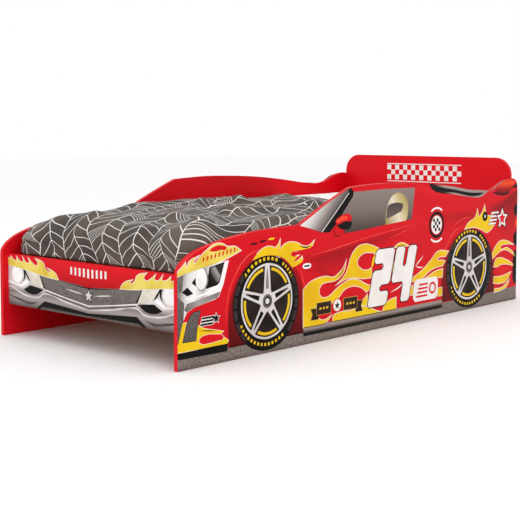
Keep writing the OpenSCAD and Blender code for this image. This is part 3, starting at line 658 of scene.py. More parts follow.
def flames():
    """The hot-rod flames along the side, yellow with white edges."""
    shapes = [
        # over the front wheel
        [[(-538, 251, TIP), (-516, 269), (-488, 282), (-463, 282), (-449, 278), (-438, 284),
          (-429, 297, TIP), (-431, 276), (-441, 264, TIP), (-424, 276), (-406, 286), (-381, 288),
          (-359, 284), (-338, 275), (-313, 272), (-288, 284, TIP), (-299, 269), (-320, 265),
          (-345, 263), (-372, 262), (-385, 255), (-376, 248), (-354, 249, TIP), (-366, 241),
          (-375, 234, TIP), (-355, 236), (-338, 245, TIP), (-337, 233), (-350, 226),
          (-379, 218, TIP), (-410, 244), (-450, 257), (-500, 258)]],
        # behind the front wheel, with its upper lick
        [[(-333, 48, TIP), (-333, 152, TIP), (-310, 168), (-278, 177), (-237, 180), (-199, 175),
          (-174, 186), (-157, 198), (-146, 214, TIP), (-153, 190), (-174, 172), (-197, 164),
          (-237, 163), (-257, 157), (-265, 140), (-257, 125), (-237, 120), (-215, 125),
          (-190, 139), (-153, 154), (-124, 160), (-87, 155), (-53, 140), (-20, 130, TIP),
          (-49, 116, TIP), (-70, 130), (-95, 138), (-124, 140), (-153, 133), (-178, 114),
          (-190, 104, TIP), (-280, 100, TIP), (-283, 80), (-262, 62), (-240, 58),
          (-213, 66, TIP), (-230, 52), (-250, 47, TIP)]],
        # the tall flame before the number
        [[(-183, 154, TIP), (-153, 173), (-137, 194), (-124, 223), (-99, 248), (-62, 257),
          (-28, 252), (13, 238, TIP), (-20, 210), (-24, 157, TIP), (-60, 157), (-103, 163),
          (-145, 164)],
         [(-93, 205), (-87, 219), (-62, 231), (-34, 231), (-8, 223), (-14, 196), (-24, 186),
          (-49, 180), (-74, 186)]],
        # along the sill, before the number
        [[(-203, 49, TIP), (-203, 62), (-180, 70), (-120, 70), (-60, 74), (-30, 66), (10, 52),
          (24, 49, TIP)]],
        [[(-90, 75, TIP), (-60, 97), (-44, 108, TIP), (-44, 88), (-50, 75, TIP), (-70, 79)]],
        [[(30, 49, TIP), (42, 69, TIP), (70, 80), (99, 84, TIP), (99, 49, TIP)]],
        # behind the digits
        [[(86, 236, TIP), (110, 246), (135, 246), (160, 236, TIP)]],
        [[(140, 84, TIP), (146, 112, TIP), (186, 110, TIP), (186, 82, TIP)]],
        [[(30, 174, TIP), (30, 190, TIP), (92, 190, TIP), (98, 164, TIP)]],
        # before the rear wheel
        [[(167, 127, TIP), (201, 140), (242, 157), (284, 182), (320, 205), (381, 201, TIP),
          (364, 186, TIP), (330, 186), (318, 180), (340, 176), (362, 172, TIP), (350, 158, TIP),
          (300, 154), (272, 146), (238, 130), (190, 123)]],
        [[(240, 122, TIP), (272, 133), (310, 144), (350, 147, TIP), (347, 121, TIP), (300, 124)]],
        [[(322, 63, TIP), (322, 88, TIP), (346, 88, TIP), (346, 63, TIP)]],
        # over the rear wheel
        [[(475, 266, TIP), (492, 282), (512, 291), (530, 296), (542, 308), (550, 327, TIP), (555, 312),
          (560, 302), (574, 310), (586, 324), (594, 338, TIP), (600, 318), (608, 306), (624, 300),
          (644, 304, TIP), (636, 290), (642, 276), (656, 268, TIP), (638, 255), (610, 246),
          (580, 256), (530, 268)]],
        # blades behind the rear wheel
        [[(646, 172, TIP), (673, 199), (704, 211), (745, 206), (781, 193, TIP), (740, 197),
          (704, 194), (697, 188), (740, 184), (780, 166), (800, 147, TIP), (768, 165), (731, 178),
          (700, 176), (668, 164), (650, 154, TIP)]],
        [[(656, 126, TIP), (668, 148), (692, 153), (731, 145), (770, 130), (788, 118, TIP),
          (740, 128), (700, 129), (676, 124)]],
        [[(656, 70, TIP), (658, 91, TIP), (704, 89), (769, 98, TIP), (742, 72), (704, 65)]],
        [[(662, 38, TIP), (664, 50, TIP), (711, 50), (760, 72, TIP), (745, 52), (711, 42)]],
    ]
    for loops in shapes:
        edged(SIDES, FLAME, WHITE, 2, *loops, width=1.8)
    print_on(SIDES, BRIGHT_RED, 4, [(648, 108, TIP), (690, 124), (730, 122), (769, 108, TIP),
                                    (720, 98), (690, 94)])
    for line in ([(197, 169), (217, 182), (240, 198)], [(200, 170), (216, 164), (240, 163)],
                 [(70, 102), (110, 112), (140, 126)]):
        print_on(SIDES, WHITE, 3, stroke(line, 4))
    for line, width in (([(-424, 279), (-434, 292)], 2.5), ([(-352, 275), (-322, 269), (-300, 273)], 4),
                        ([(-190, 171), (-165, 184), (-151, 204)], 3)):
        print_on(SIDES, BLACK, 4, stroke(line, width))
    edged(SIDES, BLACK, LAMP, 2, oval(-318, 217, 13, 2.6), width=5)


def race_number():
    """Two block digits that lean back, white with a black edge."""
    two = [(0, 0), (92, 0), (92, 42), (44, 42), (44, 62), (92, 62), (92, 168), (0, 168), (0, 126),
           (48, 126), (48, 106), (0, 106)]
    four = [(62, 0), (106, 0), (106, 168), (62, 168), (62, 106), (44, 106), (44, 168), (0, 168),
            (0, 62), (62, 62)]
    lean = math.tan(math.radians(15))
    for digit, u in ((two, -45), (four, 56)):
        shape = leaning(cut_corners(digit, 8), u, 68, lean)
        turned = [(2 * NUMBER_MIDDLE - x, y) for x, y in shape]
        edged(("right",), WHITE, BLACK, 6, shape, width=3, round_it=False)
        edged(("left",), WHITE, BLACK, 6, turned, width=3, round_it=False)




def badges():
    """Plain trim in place of lettering: ribbon, striped badge, chequered roundel and star."""
    for end, inner in ((-302, -268), (-66, -100)):
        notch = end + (8 if inner > end else -8)
        tail_end = [(end, 63), (inner, 63), (inner, 95), (end, 95), (notch, 79)]
        edged(SIDES, RIBBON, PALE_FLAME, 4, tail_end, width=0.8, round_it=False)
    for u in (-276, -156):
        edged(SIDES, RIBBON, PALE_FLAME, 6, box_at(u, 75, 63, 34), width=0.8, round_it=False)
    for middle in (-245, -124):
        for i in (-1, 0, 1):
            print_on(SIDES, FLAME, 8, box_at(middle + 15 * i - 5, 89, 8, 6, 2), round_it=False)
    edged(SIDES, WHITE, BRIGHT_RED, 5, oval(-185, 93, 17), width=2.5)
    print_on(SIDES, BLACK, 7, star(-185, 92, 12), round_it=False)
    badge = cut_corners([(186, 58), (322, 58), (322, 127), (192, 127)], 12)
    print_on(SIDES, WHITE, 4, badge, round_it=False)
    for i in range(4):
        print_on(SIDES, BRIGHT_RED, 5, box_at(202 + 5 * i, 70 + 12 * i, 60 - 4 * i, 6, 3), round_it=False)
    print_on(SIDES, BRIGHT_RED, 5, oval(292, 93, 19), oval(292, 93, 12))
    print_on(SIDES, BLACK, 3, oval(312, 290, 42, points=14), oval(312, 290, 33, points=14))
    print_on(SIDES, WHITE, 3, oval(312, 290, 29, points=14))
    for i in range(-2, 2):
        for k in range(-2, 2):
            if (i + k) % 2:
                print_on(SIDES, BLACK, 4, box_at(312 + 10 * i, 290 + 10 * k, 10, 10), round_it=False)
    print_on(SIDES, WHITE, 3, arc_band(312, 290, 50, 56, 55, 125))
    print_on(SIDES, WHITE, 3, arc_band(312, 290, 50, 56, 235, 305))
    print_on(SIDES, BLACK, 6, oval(597, 300, 16))
    print_on(SIDES, SILVER, 7, oval(597, 300, 5))
    for i in range(4):
        edged(SIDES, WHITE, BLACK, 5, box_at(618 + 6 * i, 270 + 12 * i, 46, 6, 2), width=1.3,
              round_it=False)
    edged(SIDES, WHITE, BLACK, 7, star(706, 287, 36, inner=0.5), width=2.5, round_it=False)
    print_on(SIDES, BRIGHT_RED, 9, star(706, 287, 22, inner=0.5), round_it=False)




def tail():
    """Tail lamp, its dark edges and the details at the rear corner."""
    print_on(SIDES, BLACK, 2, [(640, 378, TIP), (690, 366), (735, 367), (775, 388), (802, 388, TIP),
                               (800, 404, TIP), (769, 391), (720, 372), (680, 378)])
    print_on(SIDES, TAIL_LAMP, 3, [(658, 378, TIP), (673, 393), (700, 411), (731, 419), (761, 417),
                                   (793, 414, TIP), (773, 392), (727, 371), (685, 370)])
    print_on(SIDES, GREY, 4, stroke([(619, 383), (655, 393), (690, 409), (723, 417)], 4))
    for v0, v1 in ((295, 327), (190, 232), (58, 168)):
        print_on(SIDES, BLACK, 2, [(806, v1 + 6, TIP), (790, v1), (782, (v0 + v1) / 2), (790, v0),
                                   (806, v0 - 4, TIP)])
    print_on(SIDES, TAIL_GLOW, 3, [(806, 282, TIP), (792, 272), (790, 262), (806, 250, TIP)])


def bumper_art():
    """The painted front end: bonnet edge with flames, lamps, grille and airbrushed bumper."""
    on = ("bumper",)
    print_on(on, CHROME, 1, box_at(-370, 85, 740, 68), round_it=False)
    hood = [(-370, 240), (370, 240), (370, 188), (130, 180), (60, 175), (0, 171), (-60, 175),
            (-130, 180), (-370, 188)]
    print_on(on, FILM_HOOD, 2, hood, round_it=False)
    grille = [(-216, 186), (-130, 180), (0, 170), (130, 180), (216, 186), (196, 148), (100, 135),
              (0, 123), (-100, 135), (-196, 148)]
    print_on(on, FINE_GRILLE, 3, grille, round_it=False)
    print_on(on, BLACK, 3, stroke([(-130, 179), (0, 169), (130, 179)], 3))
    print_on(on, LAMP, 4, stroke([(-198, 147), (-100, 133), (0, 121), (100, 133), (198, 147)], 2.4,
                                 taper=False), round_it=False)
    print_on(on, CHROME_SHADE, 2, stroke([(-190, 141), (-100, 127), (0, 115), (100, 127), (190, 141)], 3,
                                         taper=False), round_it=False)
    mouth = [(-232, 86), (-194, 114), (-100, 108), (0, 101), (100, 108), (194, 114), (232, 86)]
    print_on(on, BLACK, 3, mouth, round_it=False)
    print_on(on, MOUTH_MESH, 4, [(-216, 86), (-200, 97), (0, 94), (200, 97), (216, 86)], round_it=False)
    for side in (-1, 1):
        def flip(*points):
            """The points on this side of the bumper's middle."""
            return [(side * p[0], *p[1:]) for p in points]

        print_on(on, CHROME_LIGHT, 2, stroke(flip((370, 145), (336, 138), (300, 126), (268, 121),
                                                  (222, 122), (194, 135), (100, 122), (0, 108)), 5))
        print_on(on, CHROME_SHADE, 2, stroke(flip((370, 118), (300, 106), (262, 101), (226, 108)), 7))
        print_on(on, SILVER, 3, flip((370, 206), (216, 190), (190, 150), (262, 150), (296, 141),
                                     (370, 150)), round_it=False)
        print_on(on, BLACK, 4, flip((198, 145, TIP), (232, 150), (260, 153, TIP), (290, 138, TIP),
                                    (268, 130), (234, 129)))
        print_on(on, CREAM, 5, flip((279, 192, TIP), (218, 187, TIP), (197, 148, TIP),
                                    (254, 161, TIP)))
        print_on(on, BLACK, 6, stroke(flip((282, 194), (271, 176), (257, 163)), 6))
        print_on(on, BLACK, 4, flip((286, 200), (280, 178), (292, 162), (312, 154), (312, 200)))
        print_on(on, LAMP, 5, flip((262, 160), (297, 145), (370, 152), (370, 159), (302, 152),
                                   (274, 168)), round_it=False)
        print_on(on, SILVER, 6, oval(side * 318, 179, 30, 28))
        print_on(on, LAMP, 7, oval(side * 320, 180, 25, 25))
        flame = flip((370, 203, TIP), (300, 197), (240, 190), (180, 183), (130, 180, TIP), (136, 190),
                     (150, 200), (176, 207, TIP), (168, 199), (186, 204), (196, 220), (232, 230, TIP),
                     (222, 218), (230, 210), (248, 217), (266, 229, TIP), (262, 217), (276, 215),
                     (292, 229, TIP), (290, 218), (304, 217), (322, 229, TIP), (322, 218),
                     (336, 220), (350, 229, TIP), (354, 222), (370, 228, TIP))
        edged(on, PALE_FLAME, WHITE, 8, flame, width=1.5)
    for i in range(-4, 5):
        low = 196 + abs(i)
        print_on(on, WHITE, 4, box_at(18 * i - 5, low, 8, 220 - low), round_it=False)
    edged(on, SILVER, BLACK, 5, star(0, 148, 17), width=2, round_it=False)
    for side in (-1, 1):
        print_on(on, SILVER, 5, stroke([(side * 24, 150), (side * 60, 154), (side * 96, 158)], 4))




def headboard_art():
    """A chequered band in place of lettering."""
    on = ("headboard",)
    for row in range(3):
        for column in range(-9, 9):
            if (row + column) % 2:
                print_on(on, WHITE, 1, box_at(18 * column, 402 + 18 * row, 18, 18), round_it=False)
    for v in (396, 460):
        print_on(on, WHITE, 1, box_at(-162, v - 2, 324, 3.5), round_it=False)


# Airbrushed shade: amount at a line, and the line's points as along, up and fade depth.
SHADES = [
    (-0.30, [(-345, 250, 5), (-300, 244, 30), (-240, 250, 70), (-150, 262, 90), (-70, 272, 70),
             (0, 281, 52), (80, 289, 34), (197, 300, 6)]),
    (-0.16, [(-350, 215, 4), (-270, 221, 60), (-182, 178, 70), (-150, 165, 30)]),
    (-0.16, [(225, 322, 10), (330, 328, 60), (480, 326, 70), (619, 332, 70), (640, 336, 80)]),
    (-0.32, [(640, 336, 40), (680, 344, 110), (711, 353, 160), (760, 372, 190), (806, 389, 210)]),
    (-0.14, [(-620, 268, 4), (-585, 268, 30), (-545, 270, 30), (-516, 276, 8)]),
    (0.10, [(-700, 318, 20), (-600, 330, 26), (-500, 337, 30), (-348, 342, 26)]),
    (0.16, [(190, 424, 20), (250, 420, 50), (330, 400, 44), (420, 382, 20)]),
    (0.05, [(-300, 320, 60), (-100, 300, 60), (100, 306, 60), (300, 330, 60)]),
]


def shade_at(u, v):
    """Light or dark of the red film at a place on the panel, 0 to 1, with 0.5 as plain red."""
    value = 0.5 - 0.04 * max(0, (150 - v) / 150)
    for amount, line in SHADES:
        for (u0, v0, d0), (u1, v1, d1) in zip(line, line[1:]):
            if u0 <= u < u1:
                share = (u - u0) / (u1 - u0)
                drop = v0 + (v1 - v0) * share - v
                depth = d0 + (d1 - d0) * share
                if 0 <= drop < depth:
                    value += amount * (1 - drop / depth) ** 1.4 * min(1, drop / 14)
    return min(max(value, 0), 1)


def red_film(side, body):
    """The red ground of a side panel's print, from the board's own outer face."""
    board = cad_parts["side_panel_" + side]
    face_x = panel_high.x if side == "right" else -panel_high.x
    bm = bmesh.new()
    bm.from_mesh(board.data)
    bmesh.ops.remove_doubles(bm, verts=bm.verts, dist=0.01 * MM)
    other = [f for f in bm.faces if any(abs(v.co.x - face_x) > 0.01 * MM for v in f.verts)]
    bmesh.ops.delete(bm, geom=other, context="FACES")
    bmesh.ops.dissolve_faces(bm, faces=bm.faces)
    cell = 9 * MM
    for axis, low, high in ((1, panel_low.y, panel_high.y), (2, panel_low.z, panel_high.z)):
        normal = Vector((0, axis == 1, axis == 2))
        for i in range(1, int((high - low) / cell) + 1):
            spot = normal * (low + i * cell)
            bmesh.ops.bisect_plane(bm, geom=bm.verts[:] + bm.edges[:] + bm.faces[:], dist=1e-6,
                                   plane_co=spot, plane_no=normal)
    bmesh.ops.triangulate(bm, faces=[f for f in bm.faces if len(f.verts) > 4])
    mesh = bpy.data.meshes.new("print_red_" + side)
    bm.to_mesh(mesh)
    bm.free()
    shade = mesh.attributes.new("shade", "FLOAT", "POINT")
    for i, v in enumerate(mesh.vertices):
        shade.data[i].value = shade_at(v.co.y / MM, v.co.z / MM)
    film = piece("print_red_" + side, mesh, FILM_RED, body)
    wall = film.modifiers.new("thickness", "SOLIDIFY")
    wall.thickness = PRINT_THICK * MM
    wall.offset = 1
    return film


def piece(name, mesh, mat, body):
    """A finished mesh as a named piece that rides on a body."""
    made = bpy.data.objects.new(name, mesh)
    bpy.context.scene.collection.objects.link(made)
    mesh.materials.clear()
    mesh.materials.append(mat)
    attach(made, body)
    return made


def place_prints():
    """Joins each board's printed shapes of one colour and lays them on the board."""
    faces = {"right": (RIGHT, "side_panel_right", 1), "left": (LEFT, "side_panel_left", 1),
             "bumper": (BUMPER, "bumper_panel", 0), "headboard": (HEADBOARD, "headboard", 0)}
    for (board, colour), shapes in prints.items():
        face, node, along = faces[board]
        low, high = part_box(node)
        bm = bmesh.new()
        for mesh, layer in shapes:
            lift = Matrix.Translation((0, 0, PRINT_THICK / 2 + layer * PRINT_STEP))
            part = mesh.copy()
            part.transform(face @ lift)
            bm.from_mesh(part)
            bpy.data.meshes.remove(part)
        for v in bm.verts:
            for axis in (along, 2):
                v.co[axis] = min(max(v.co[axis], low[axis] + FILM_EDGE), high[axis] - FILM_EDGE)
        bmesh.ops.remove_doubles(bm, verts=bm.verts, dist=0.002 * MM)
        bmesh.ops.dissolve_degenerate(bm, edges=bm.edges, dist=0.002 * MM)
        bmesh.ops.recalc_face_normals(bm, faces=bm.faces)
        mesh = bpy.data.meshes.new(colour)
        bm.to_mesh(mesh)
        bm.free()
        name = colour.replace("printed_film", "print") + "_" + board
        piece(name, mesh, bpy.data.materials[colour], "bed_frame")


# ---------------------------------------------------------------- soft pieces

def rounded_block(low, high, corner, edge, cell):
    """A block with round upright corners and round edges, cut into cells, as a bmesh."""
    bm = bmesh.new()
    bmesh.ops.create_cube(bm, size=1)
    size = high - low
    bmesh.ops.scale(bm, vec=size, verts=bm.verts)
    bmesh.ops.translate(bm, vec=(low + high) / 2, verts=bm.verts)
    upright = [e for e in bm.edges if abs(e.verts[0].co.z - e.verts[1].co.z) > size.z / 2]
    bmesh.ops.bevel(bm, geom=upright, offset=corner, segments=6, affect="EDGES", profile=0.5,
                    material=-1)
    rims = [e for e in bm.edges if abs(e.verts[0].co.z - e.verts[1].co.z) < 1e-6
            and abs(abs((e.verts[0].co.z - low.z) / size.z - 0.5) - 0.5) < 1e-4
            and len({round(f.normal.z, 2) for f in e.link_faces}) > 1]
    bmesh.ops.bevel(bm, geom=rims, offset=edge, segments=6, affect="EDGES", profile=0.5, material=-1)
    for axis in range(3):
        normal = Vector([float(axis == k) for k in range(3)])
        count = max(2, round(size[axis] / cell))
        for i in range(1, count):
            bmesh.ops.bisect_plane(bm, geom=bm.verts[:] + bm.edges[:] + bm.faces[:], dist=1e-5,
                                   plane_co=normal * (low[axis] + size[axis] * i / count),
                                   plane_no=normal)
    return bm


def lay_uv(bm, high):
    """A cloth map in metres: flat on top, and folded down the sides."""
    layer = bm.loops.layers.uv.new("cloth")
    for face in bm.faces:
        for loop in face.loops:
            spot = loop.vert.co
            drop = high.z - spot.z
            over_x = drop if abs(face.normal.x) > 0.6 else 0
            over_y = drop if abs(face.normal.y) > 0.6 else 0
            loop[layer].uv = (spot.x + math.copysign(over_x, spot.x),
                              spot.y + math.copysign(over_y, spot.y))


MATTRESS_CORNER = 60 * MM
MATTRESS_EDGE = 42 * MM
# How far the used mattress has sunk, in millimetres, and where each part of the sinking starts.
SUNK_LAIN_ON = 8
SUNK_FOOT = 8
SUNK_SIDE = 3
SUNK_FOOT_CORNER = 26
FOOT_CORNER_REACH = 0.12
LAIN_ON_FROM = 0.36     # towards the head, where nobody's weight has pressed it
FOOT_FROM = -0.34


def sag(x, y):
    """How far the used mattress and its bedding lie below the new mattress's top."""
    foot = min(max((FOOT_FROM - y) / 0.14, 0), 1)
    lain_on = min(max((LAIN_ON_FROM - y) / 0.2, 0), 1)
    corner = Vector((abs(x) - mattress_high.x, y - mattress_low.y)).length
    side = min(abs(x) / mattress_high.x, 1)
    sunk = SUNK_LAIN_ON * lain_on * lain_on * (3 - 2 * lain_on)
    sunk += SUNK_FOOT * foot * foot * (3 - 2 * foot)
    sunk += SUNK_SIDE * side ** 6
    sunk += SUNK_FOOT_CORNER * math.exp(-(corner / FOOT_CORNER_REACH) ** 2)
    return sunk * MM


def sagged(bm, low, high):
    """Lets a block's top down by the sag, and its sides in proportion to their height."""
    for v in bm.verts:
        v.co.z -= sag(v.co.x, v.co.y) * (v.co.z - low.z) / (high.z - low.z)
    return bm


def as_mesh(bm, name):
    """A bmesh as a smooth-shaded mesh. The bmesh is used up."""
    mesh = bpy.data.meshes.new(name)
    bm.to_mesh(mesh)
    bm.free()
    mesh.shade_smooth()
    return mesh


def mattress():
    """A foam block in a knitted cover: soft edges, a top that has sunk, and two piped seams."""
    bm = rounded_block(mattress_low, mattress_high, MATTRESS_CORNER, MATTRESS_EDGE, 30 * MM)
    sagged(bm, mattress_low, mattress_high)
    core = piece("foam_mattress", as_mesh(bm, "foam_mattress"), TICKING, "mattress")
    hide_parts("mattress")
    piping("mattress_piping_top", mattress_high.z - MATTRESS_EDGE - 3 * MM)
    piping("mattress_piping_low", mattress_low.z + MATTRESS_EDGE + 3 * MM)
    return core


def piping(name, height):
    """A round welt sewn along the mattress's side, sunk to half its thickness."""
    radius = MATTRESS_CORNER
    inset = 0.9 * MM
    half_w = mattress_high.x - inset
    half_l = mattress_high.y - inset
    curve = bpy.data.curves.new(name, "CURVE")
    curve.dimensions = "3D"
    curve.bevel_depth = 1.2 * MM
    curve.bevel_resolution = 2
    line = curve.splines.new("POLY")
    spots = []
    for quarter in range(4):
        sign_x = (1, -1, -1, 1)[quarter]
        sign_y = (1, 1, -1, -1)[quarter]
        for i in range(7):
            a = math.pi / 2 * (quarter + i / 6)
            spots.append((sign_x * (half_w - radius) + radius * math.cos(a),
                          sign_y * (half_l - radius) + radius * math.sin(a), height))
    share = (height - mattress_low.z) / (mattress_high.z - mattress_low.z)
    spots = [(x, y, z - sag(x, y) * share) for x, y, z in spots]
    line.points.add(len(spots) - 1)
    for point, spot in zip(line.points, spots):
        point.co = (*spot, 1)
    line.use_cyclic_u = True
    holder = bpy.data.objects.new(name, curve)
    bpy.context.scene.collection.objects.link(holder)
    mesh = bpy.data.meshes.new_from_object(
        holder.evaluated_get(bpy.context.evaluated_depsgraph_get()))
    bpy.data.objects.remove(holder)
    mesh.shade_smooth()
    return piece(name, mesh, TICKING, "mattress")


SHEET_HEM = 60 * MM
SHEET_THICK = 0.5 * MM
SHEET_GAP = 0.6 * MM        # between the mattress and the sheet
SHEET_PULL = 3.0 * MM       # height of the pulls that run in from the corners
SHEET_RIPPLE = 1.6 * MM
PULL_REACH = 0.3


def fitted_sheet():
    """The stretched cotton sheet with its hem turned under, and small pulls near the corners."""
    low = mattress_low - Vector((1, 1, 0.6)) * SHEET_GAP
    high = mattress_high + Vector((1, 1, 1)) * SHEET_GAP
    bm = rounded_block(low, high, MATTRESS_CORNER, MATTRESS_EDGE, 20 * MM)
    under = [f for f in bm.faces if f.normal.z < -0.9
             and abs(f.calc_center_median().x) < high.x - SHEET_HEM
             and abs(f.calc_center_median().y) < high.y - SHEET_HEM]
    bmesh.ops.delete(bm, geom=under, context="FACES")
    bm.normal_update()
    lay_uv(bm, high)
    sagged(bm, low, high)
    for v in bm.verts:
        if v.co.z < (low.z + high.z) / 2:
            continue
        from_corner = Vector((high.x - abs(v.co.x), high.y - abs(v.co.y))).length
        near = max(0, 1 - from_corner / PULL_REACH)
        pull = noise.noise(Vector((v.co.x * 26 + v.co.y * 14, v.co.y * 5 - v.co.x * 5, 3)))
        slow = noise.noise(Vector((v.co.x * 7, v.co.y * 16, 8)))
        v.co += v.normal * (max(0, pull) * SHEET_PULL * near + max(0, slow) * SHEET_RIPPLE)
    cloth = piece("cotton_fitted_sheet", as_mesh(bm, "cotton_fitted_sheet"), SHEET, "mattress")
    wall = cloth.modifiers.new("thickness", "SOLIDIFY")
    wall.thickness = SHEET_THICK
    wall.offset = 1
    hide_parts("fitted_sheet")
    return cloth


# Duvet: the roll of its edges, its thickness, the level it lies at, and how far it hangs.
DUVET_ROLL = 58 * MM
DUVET_THICK = 7 * MM
DUVET_CELL = 11 * MM
DUVET_CLEAR = 1.5 * MM
DUVET_TOP = sheet_high.z + 13 * MM
DUVET_SIDE = duvet_high.x - 1.5 * MM
DUVET_FOOT = duvet_low.y + 1.5 * MM
DUVET_HANG = DUVET_TOP - duvet_low.z - 3 * MM
# The head edge slants: places across and along the bed that it passes through.
HEAD_EDGE = [(-0.40, 0.425), (-0.354, 0.396), (-0.181, 0.286), (0, 0.243), (0.18, 0.20),
             (0.40, 0.16)]
# Long soft folds: two ends, half width and height, which is negative for a valley.
FOLDS = [
    ((0.207, -0.94), (0.200, -0.72), 0.022, -0.016), ((0.185, -0.66), (0.12, -0.60), 0.026, -0.008),
    ((0.29, -0.86), (0.28, -0.66), 0.050, 0.020), ((-0.20, -0.70), (0.09, -0.60), 0.045, 0.018),
    ((-0.25, -0.58), (0.02, -0.50), 0.030, -0.008), ((-0.26, -0.38), (-0.26, 0.02), 0.055, 0.020),
    ((0.10, -0.55), (-0.08, -0.28), 0.036, 0.024), ((-0.08, -0.28), (-0.10, -0.10), 0.036, 0.022),
    ((-0.10, -0.10), (0.06, 0.05), 0.036, 0.022), ((0.16, -0.50), (0.02, -0.20), 0.026, -0.012),
    ((0.31, -0.68), (0.13, -0.40), 0.036, 0.024), ((0.13, -0.40), (0.22, -0.10), 0.034, 0.022),
    ((0.22, -0.10), (0.12, 0.14), 0.030, 0.018), ((0.33, -0.52), (0.31, -0.20), 0.040, 0.014),
    ((-0.22, 0.08), (-0.12, 0.24), 0.045, 0.010), ((-0.02, -0.82), (-0.10, -0.66), 0.030, 0.010),
]


def head_edge_at(u):
    """How far up the bed the duvet's head edge lies."""
    for (u0, w0), (u1, w1) in zip(HEAD_EDGE, HEAD_EDGE[1:]):
        if u <= u1:
            return w0 + (w1 - w0) * max(0, (u - u0) / (u1 - u0))
    return HEAD_EDGE[-1][1]


def fold_height(u, v):
    """Rise of the long folds and of the small lumps of the filling."""
    here = Vector((u, v))
    rise = 0
    for a, b, half, height in FOLDS:
        a, b = Vector(a), Vector(b)
        share = min(max((here - a).dot(b - a) / (b - a).length_squared, 0), 1)
        rise += height * math.exp(-((here - a.lerp(b, share)).length / half) ** 2)
    lump = noise.noise(Vector((u * 9, v * 9, 11)))
    crease = abs(noise.noise(Vector((u * 16 + v * 7, v * 5, 5))))
    return rise + (4 * lump - 5 * crease) * MM


def over_the_edge(u, v):
    """Where a point of the flat duvet comes to lie, which way it faces, and how far it hangs over."""
    flat_x = DUVET_SIDE - DUVET_ROLL
    flat_y = DUVET_FOOT + DUVET_ROLL
    over = Vector((math.copysign(max(0, abs(u) - flat_x), u), -max(0, flat_y - v)))
    far = over.length
    turn = min(far / DUVET_ROLL, math.pi / 2)
    way = over.normalized() if far > 0 else over
    out = way * DUVET_ROLL * math.sin(turn)
    down = DUVET_ROLL * (1 - math.cos(turn)) + max(0, far - DUVET_ROLL * math.pi / 2)
    spot = Vector((max(-flat_x, min(flat_x, u)) + out.x, max(flat_y, v) + out.y, DUVET_TOP - down))
    spot.z -= sag(spot.x, spot.y) * max(0, 1 - down / DUVET_HANG)
    facing = Vector((way.x * math.sin(turn), way.y * math.sin(turn), math.cos(turn)))
    return spot, facing, far


def duvet_cloth():
    """The duvet's upper face before it is settled, as a grid laid over the bed."""
    reach = DUVET_ROLL * math.pi / 2 + DUVET_HANG - DUVET_ROLL      # of the cloth past the flat top
    half = DUVET_SIDE - DUVET_ROLL + reach
    foot = DUVET_FOOT + DUVET_ROLL - reach
    bm = bmesh.new()
    across = round(2 * half / DUVET_CELL)
    along = round((HEAD_EDGE[1][1] - foot) / DUVET_CELL)
    bmesh.ops.create_grid(bm, x_segments=across, y_segments=along, size=0.5)
    layer = bm.loops.layers.uv.new("cloth")
    lost = set()
    for v in bm.verts:
        u = v.co.x * 2 * half
        w = foot + (head_edge_at(u) - foot) * (v.co.y + 0.5)
        for loop in v.link_loops:
            loop[layer].uv = (u, w)
        spot, facing, far = over_the_edge(u, w)
        if far > reach + 0.5 * DUVET_CELL:
            lost.add(v)
        v.co = spot + facing * fold_height(u, w)
    bmesh.ops.delete(bm, geom=list(lost), context="VERTS")
    return bm


DUVET_CAP = 12 * MM     # the furthest that settling may move a point
DUVET_FRAMES = 24


def settle(cloth):
    """Lets the duvet, a little too big for the bed, fold and settle on the mattress."""
    scene = bpy.context.scene
    low = Vector((mattress_low.x, mattress_low.y, mattress_low.z + 10 * MM))
    block = rounded_block(low, sheet_high, MATTRESS_CORNER, MATTRESS_EDGE, 40 * MM)
    sagged(block, low, sheet_high)
    support = bpy.data.objects.new("support", as_mesh(block, "support"))
    scene.collection.objects.link(support)
    support.modifiers.new("collision", "COLLISION")
    support.collision.thickness_outer = DUVET_THICK + 1 * MM
    support.collision.cloth_friction = 25
    pins = cloth.vertex_groups.new(name="tucked")
    for v in cloth.data.vertices:
        drop = DUVET_TOP - v.co.z
        if drop > 0.6 * DUVET_HANG:
            pins.add([v.index], min(1, (drop / DUVET_HANG - 0.6) / 0.3), "REPLACE")
    sim = cloth.modifiers.new("cloth", "CLOTH")
    sim.settings.quality = 6
    sim.settings.mass = 0.35
    sim.settings.tension_stiffness = sim.settings.compression_stiffness = 18
    sim.settings.shear_stiffness = 6
    sim.settings.bending_stiffness = 5
    sim.settings.shrink_min = -0.05
    sim.settings.vertex_group_mass = "tucked"
    sim.collision_settings.distance_min = 1 * MM
    sim.collision_settings.use_self_collision = False
    sim.point_cache.frame_end = DUVET_FRAMES
    for i in range(1, DUVET_FRAMES + 1):
        scene.frame_set(i)
    settled = bpy.data.meshes.new_from_object(
        cloth.evaluated_get(bpy.context.evaluated_depsgraph_get()))
    cloth.modifiers.remove(sim)
    rest = [v.co.copy() for v in cloth.data.vertices]
    for v, home in zip(settled.vertices, rest):
        move = v.co - home
        if move.length > DUVET_CAP:
            v.co = home + move.normalized() * DUVET_CAP
    cloth.data = settled
    bpy.data.objects.remove(support)
    scene.frame_set(1)


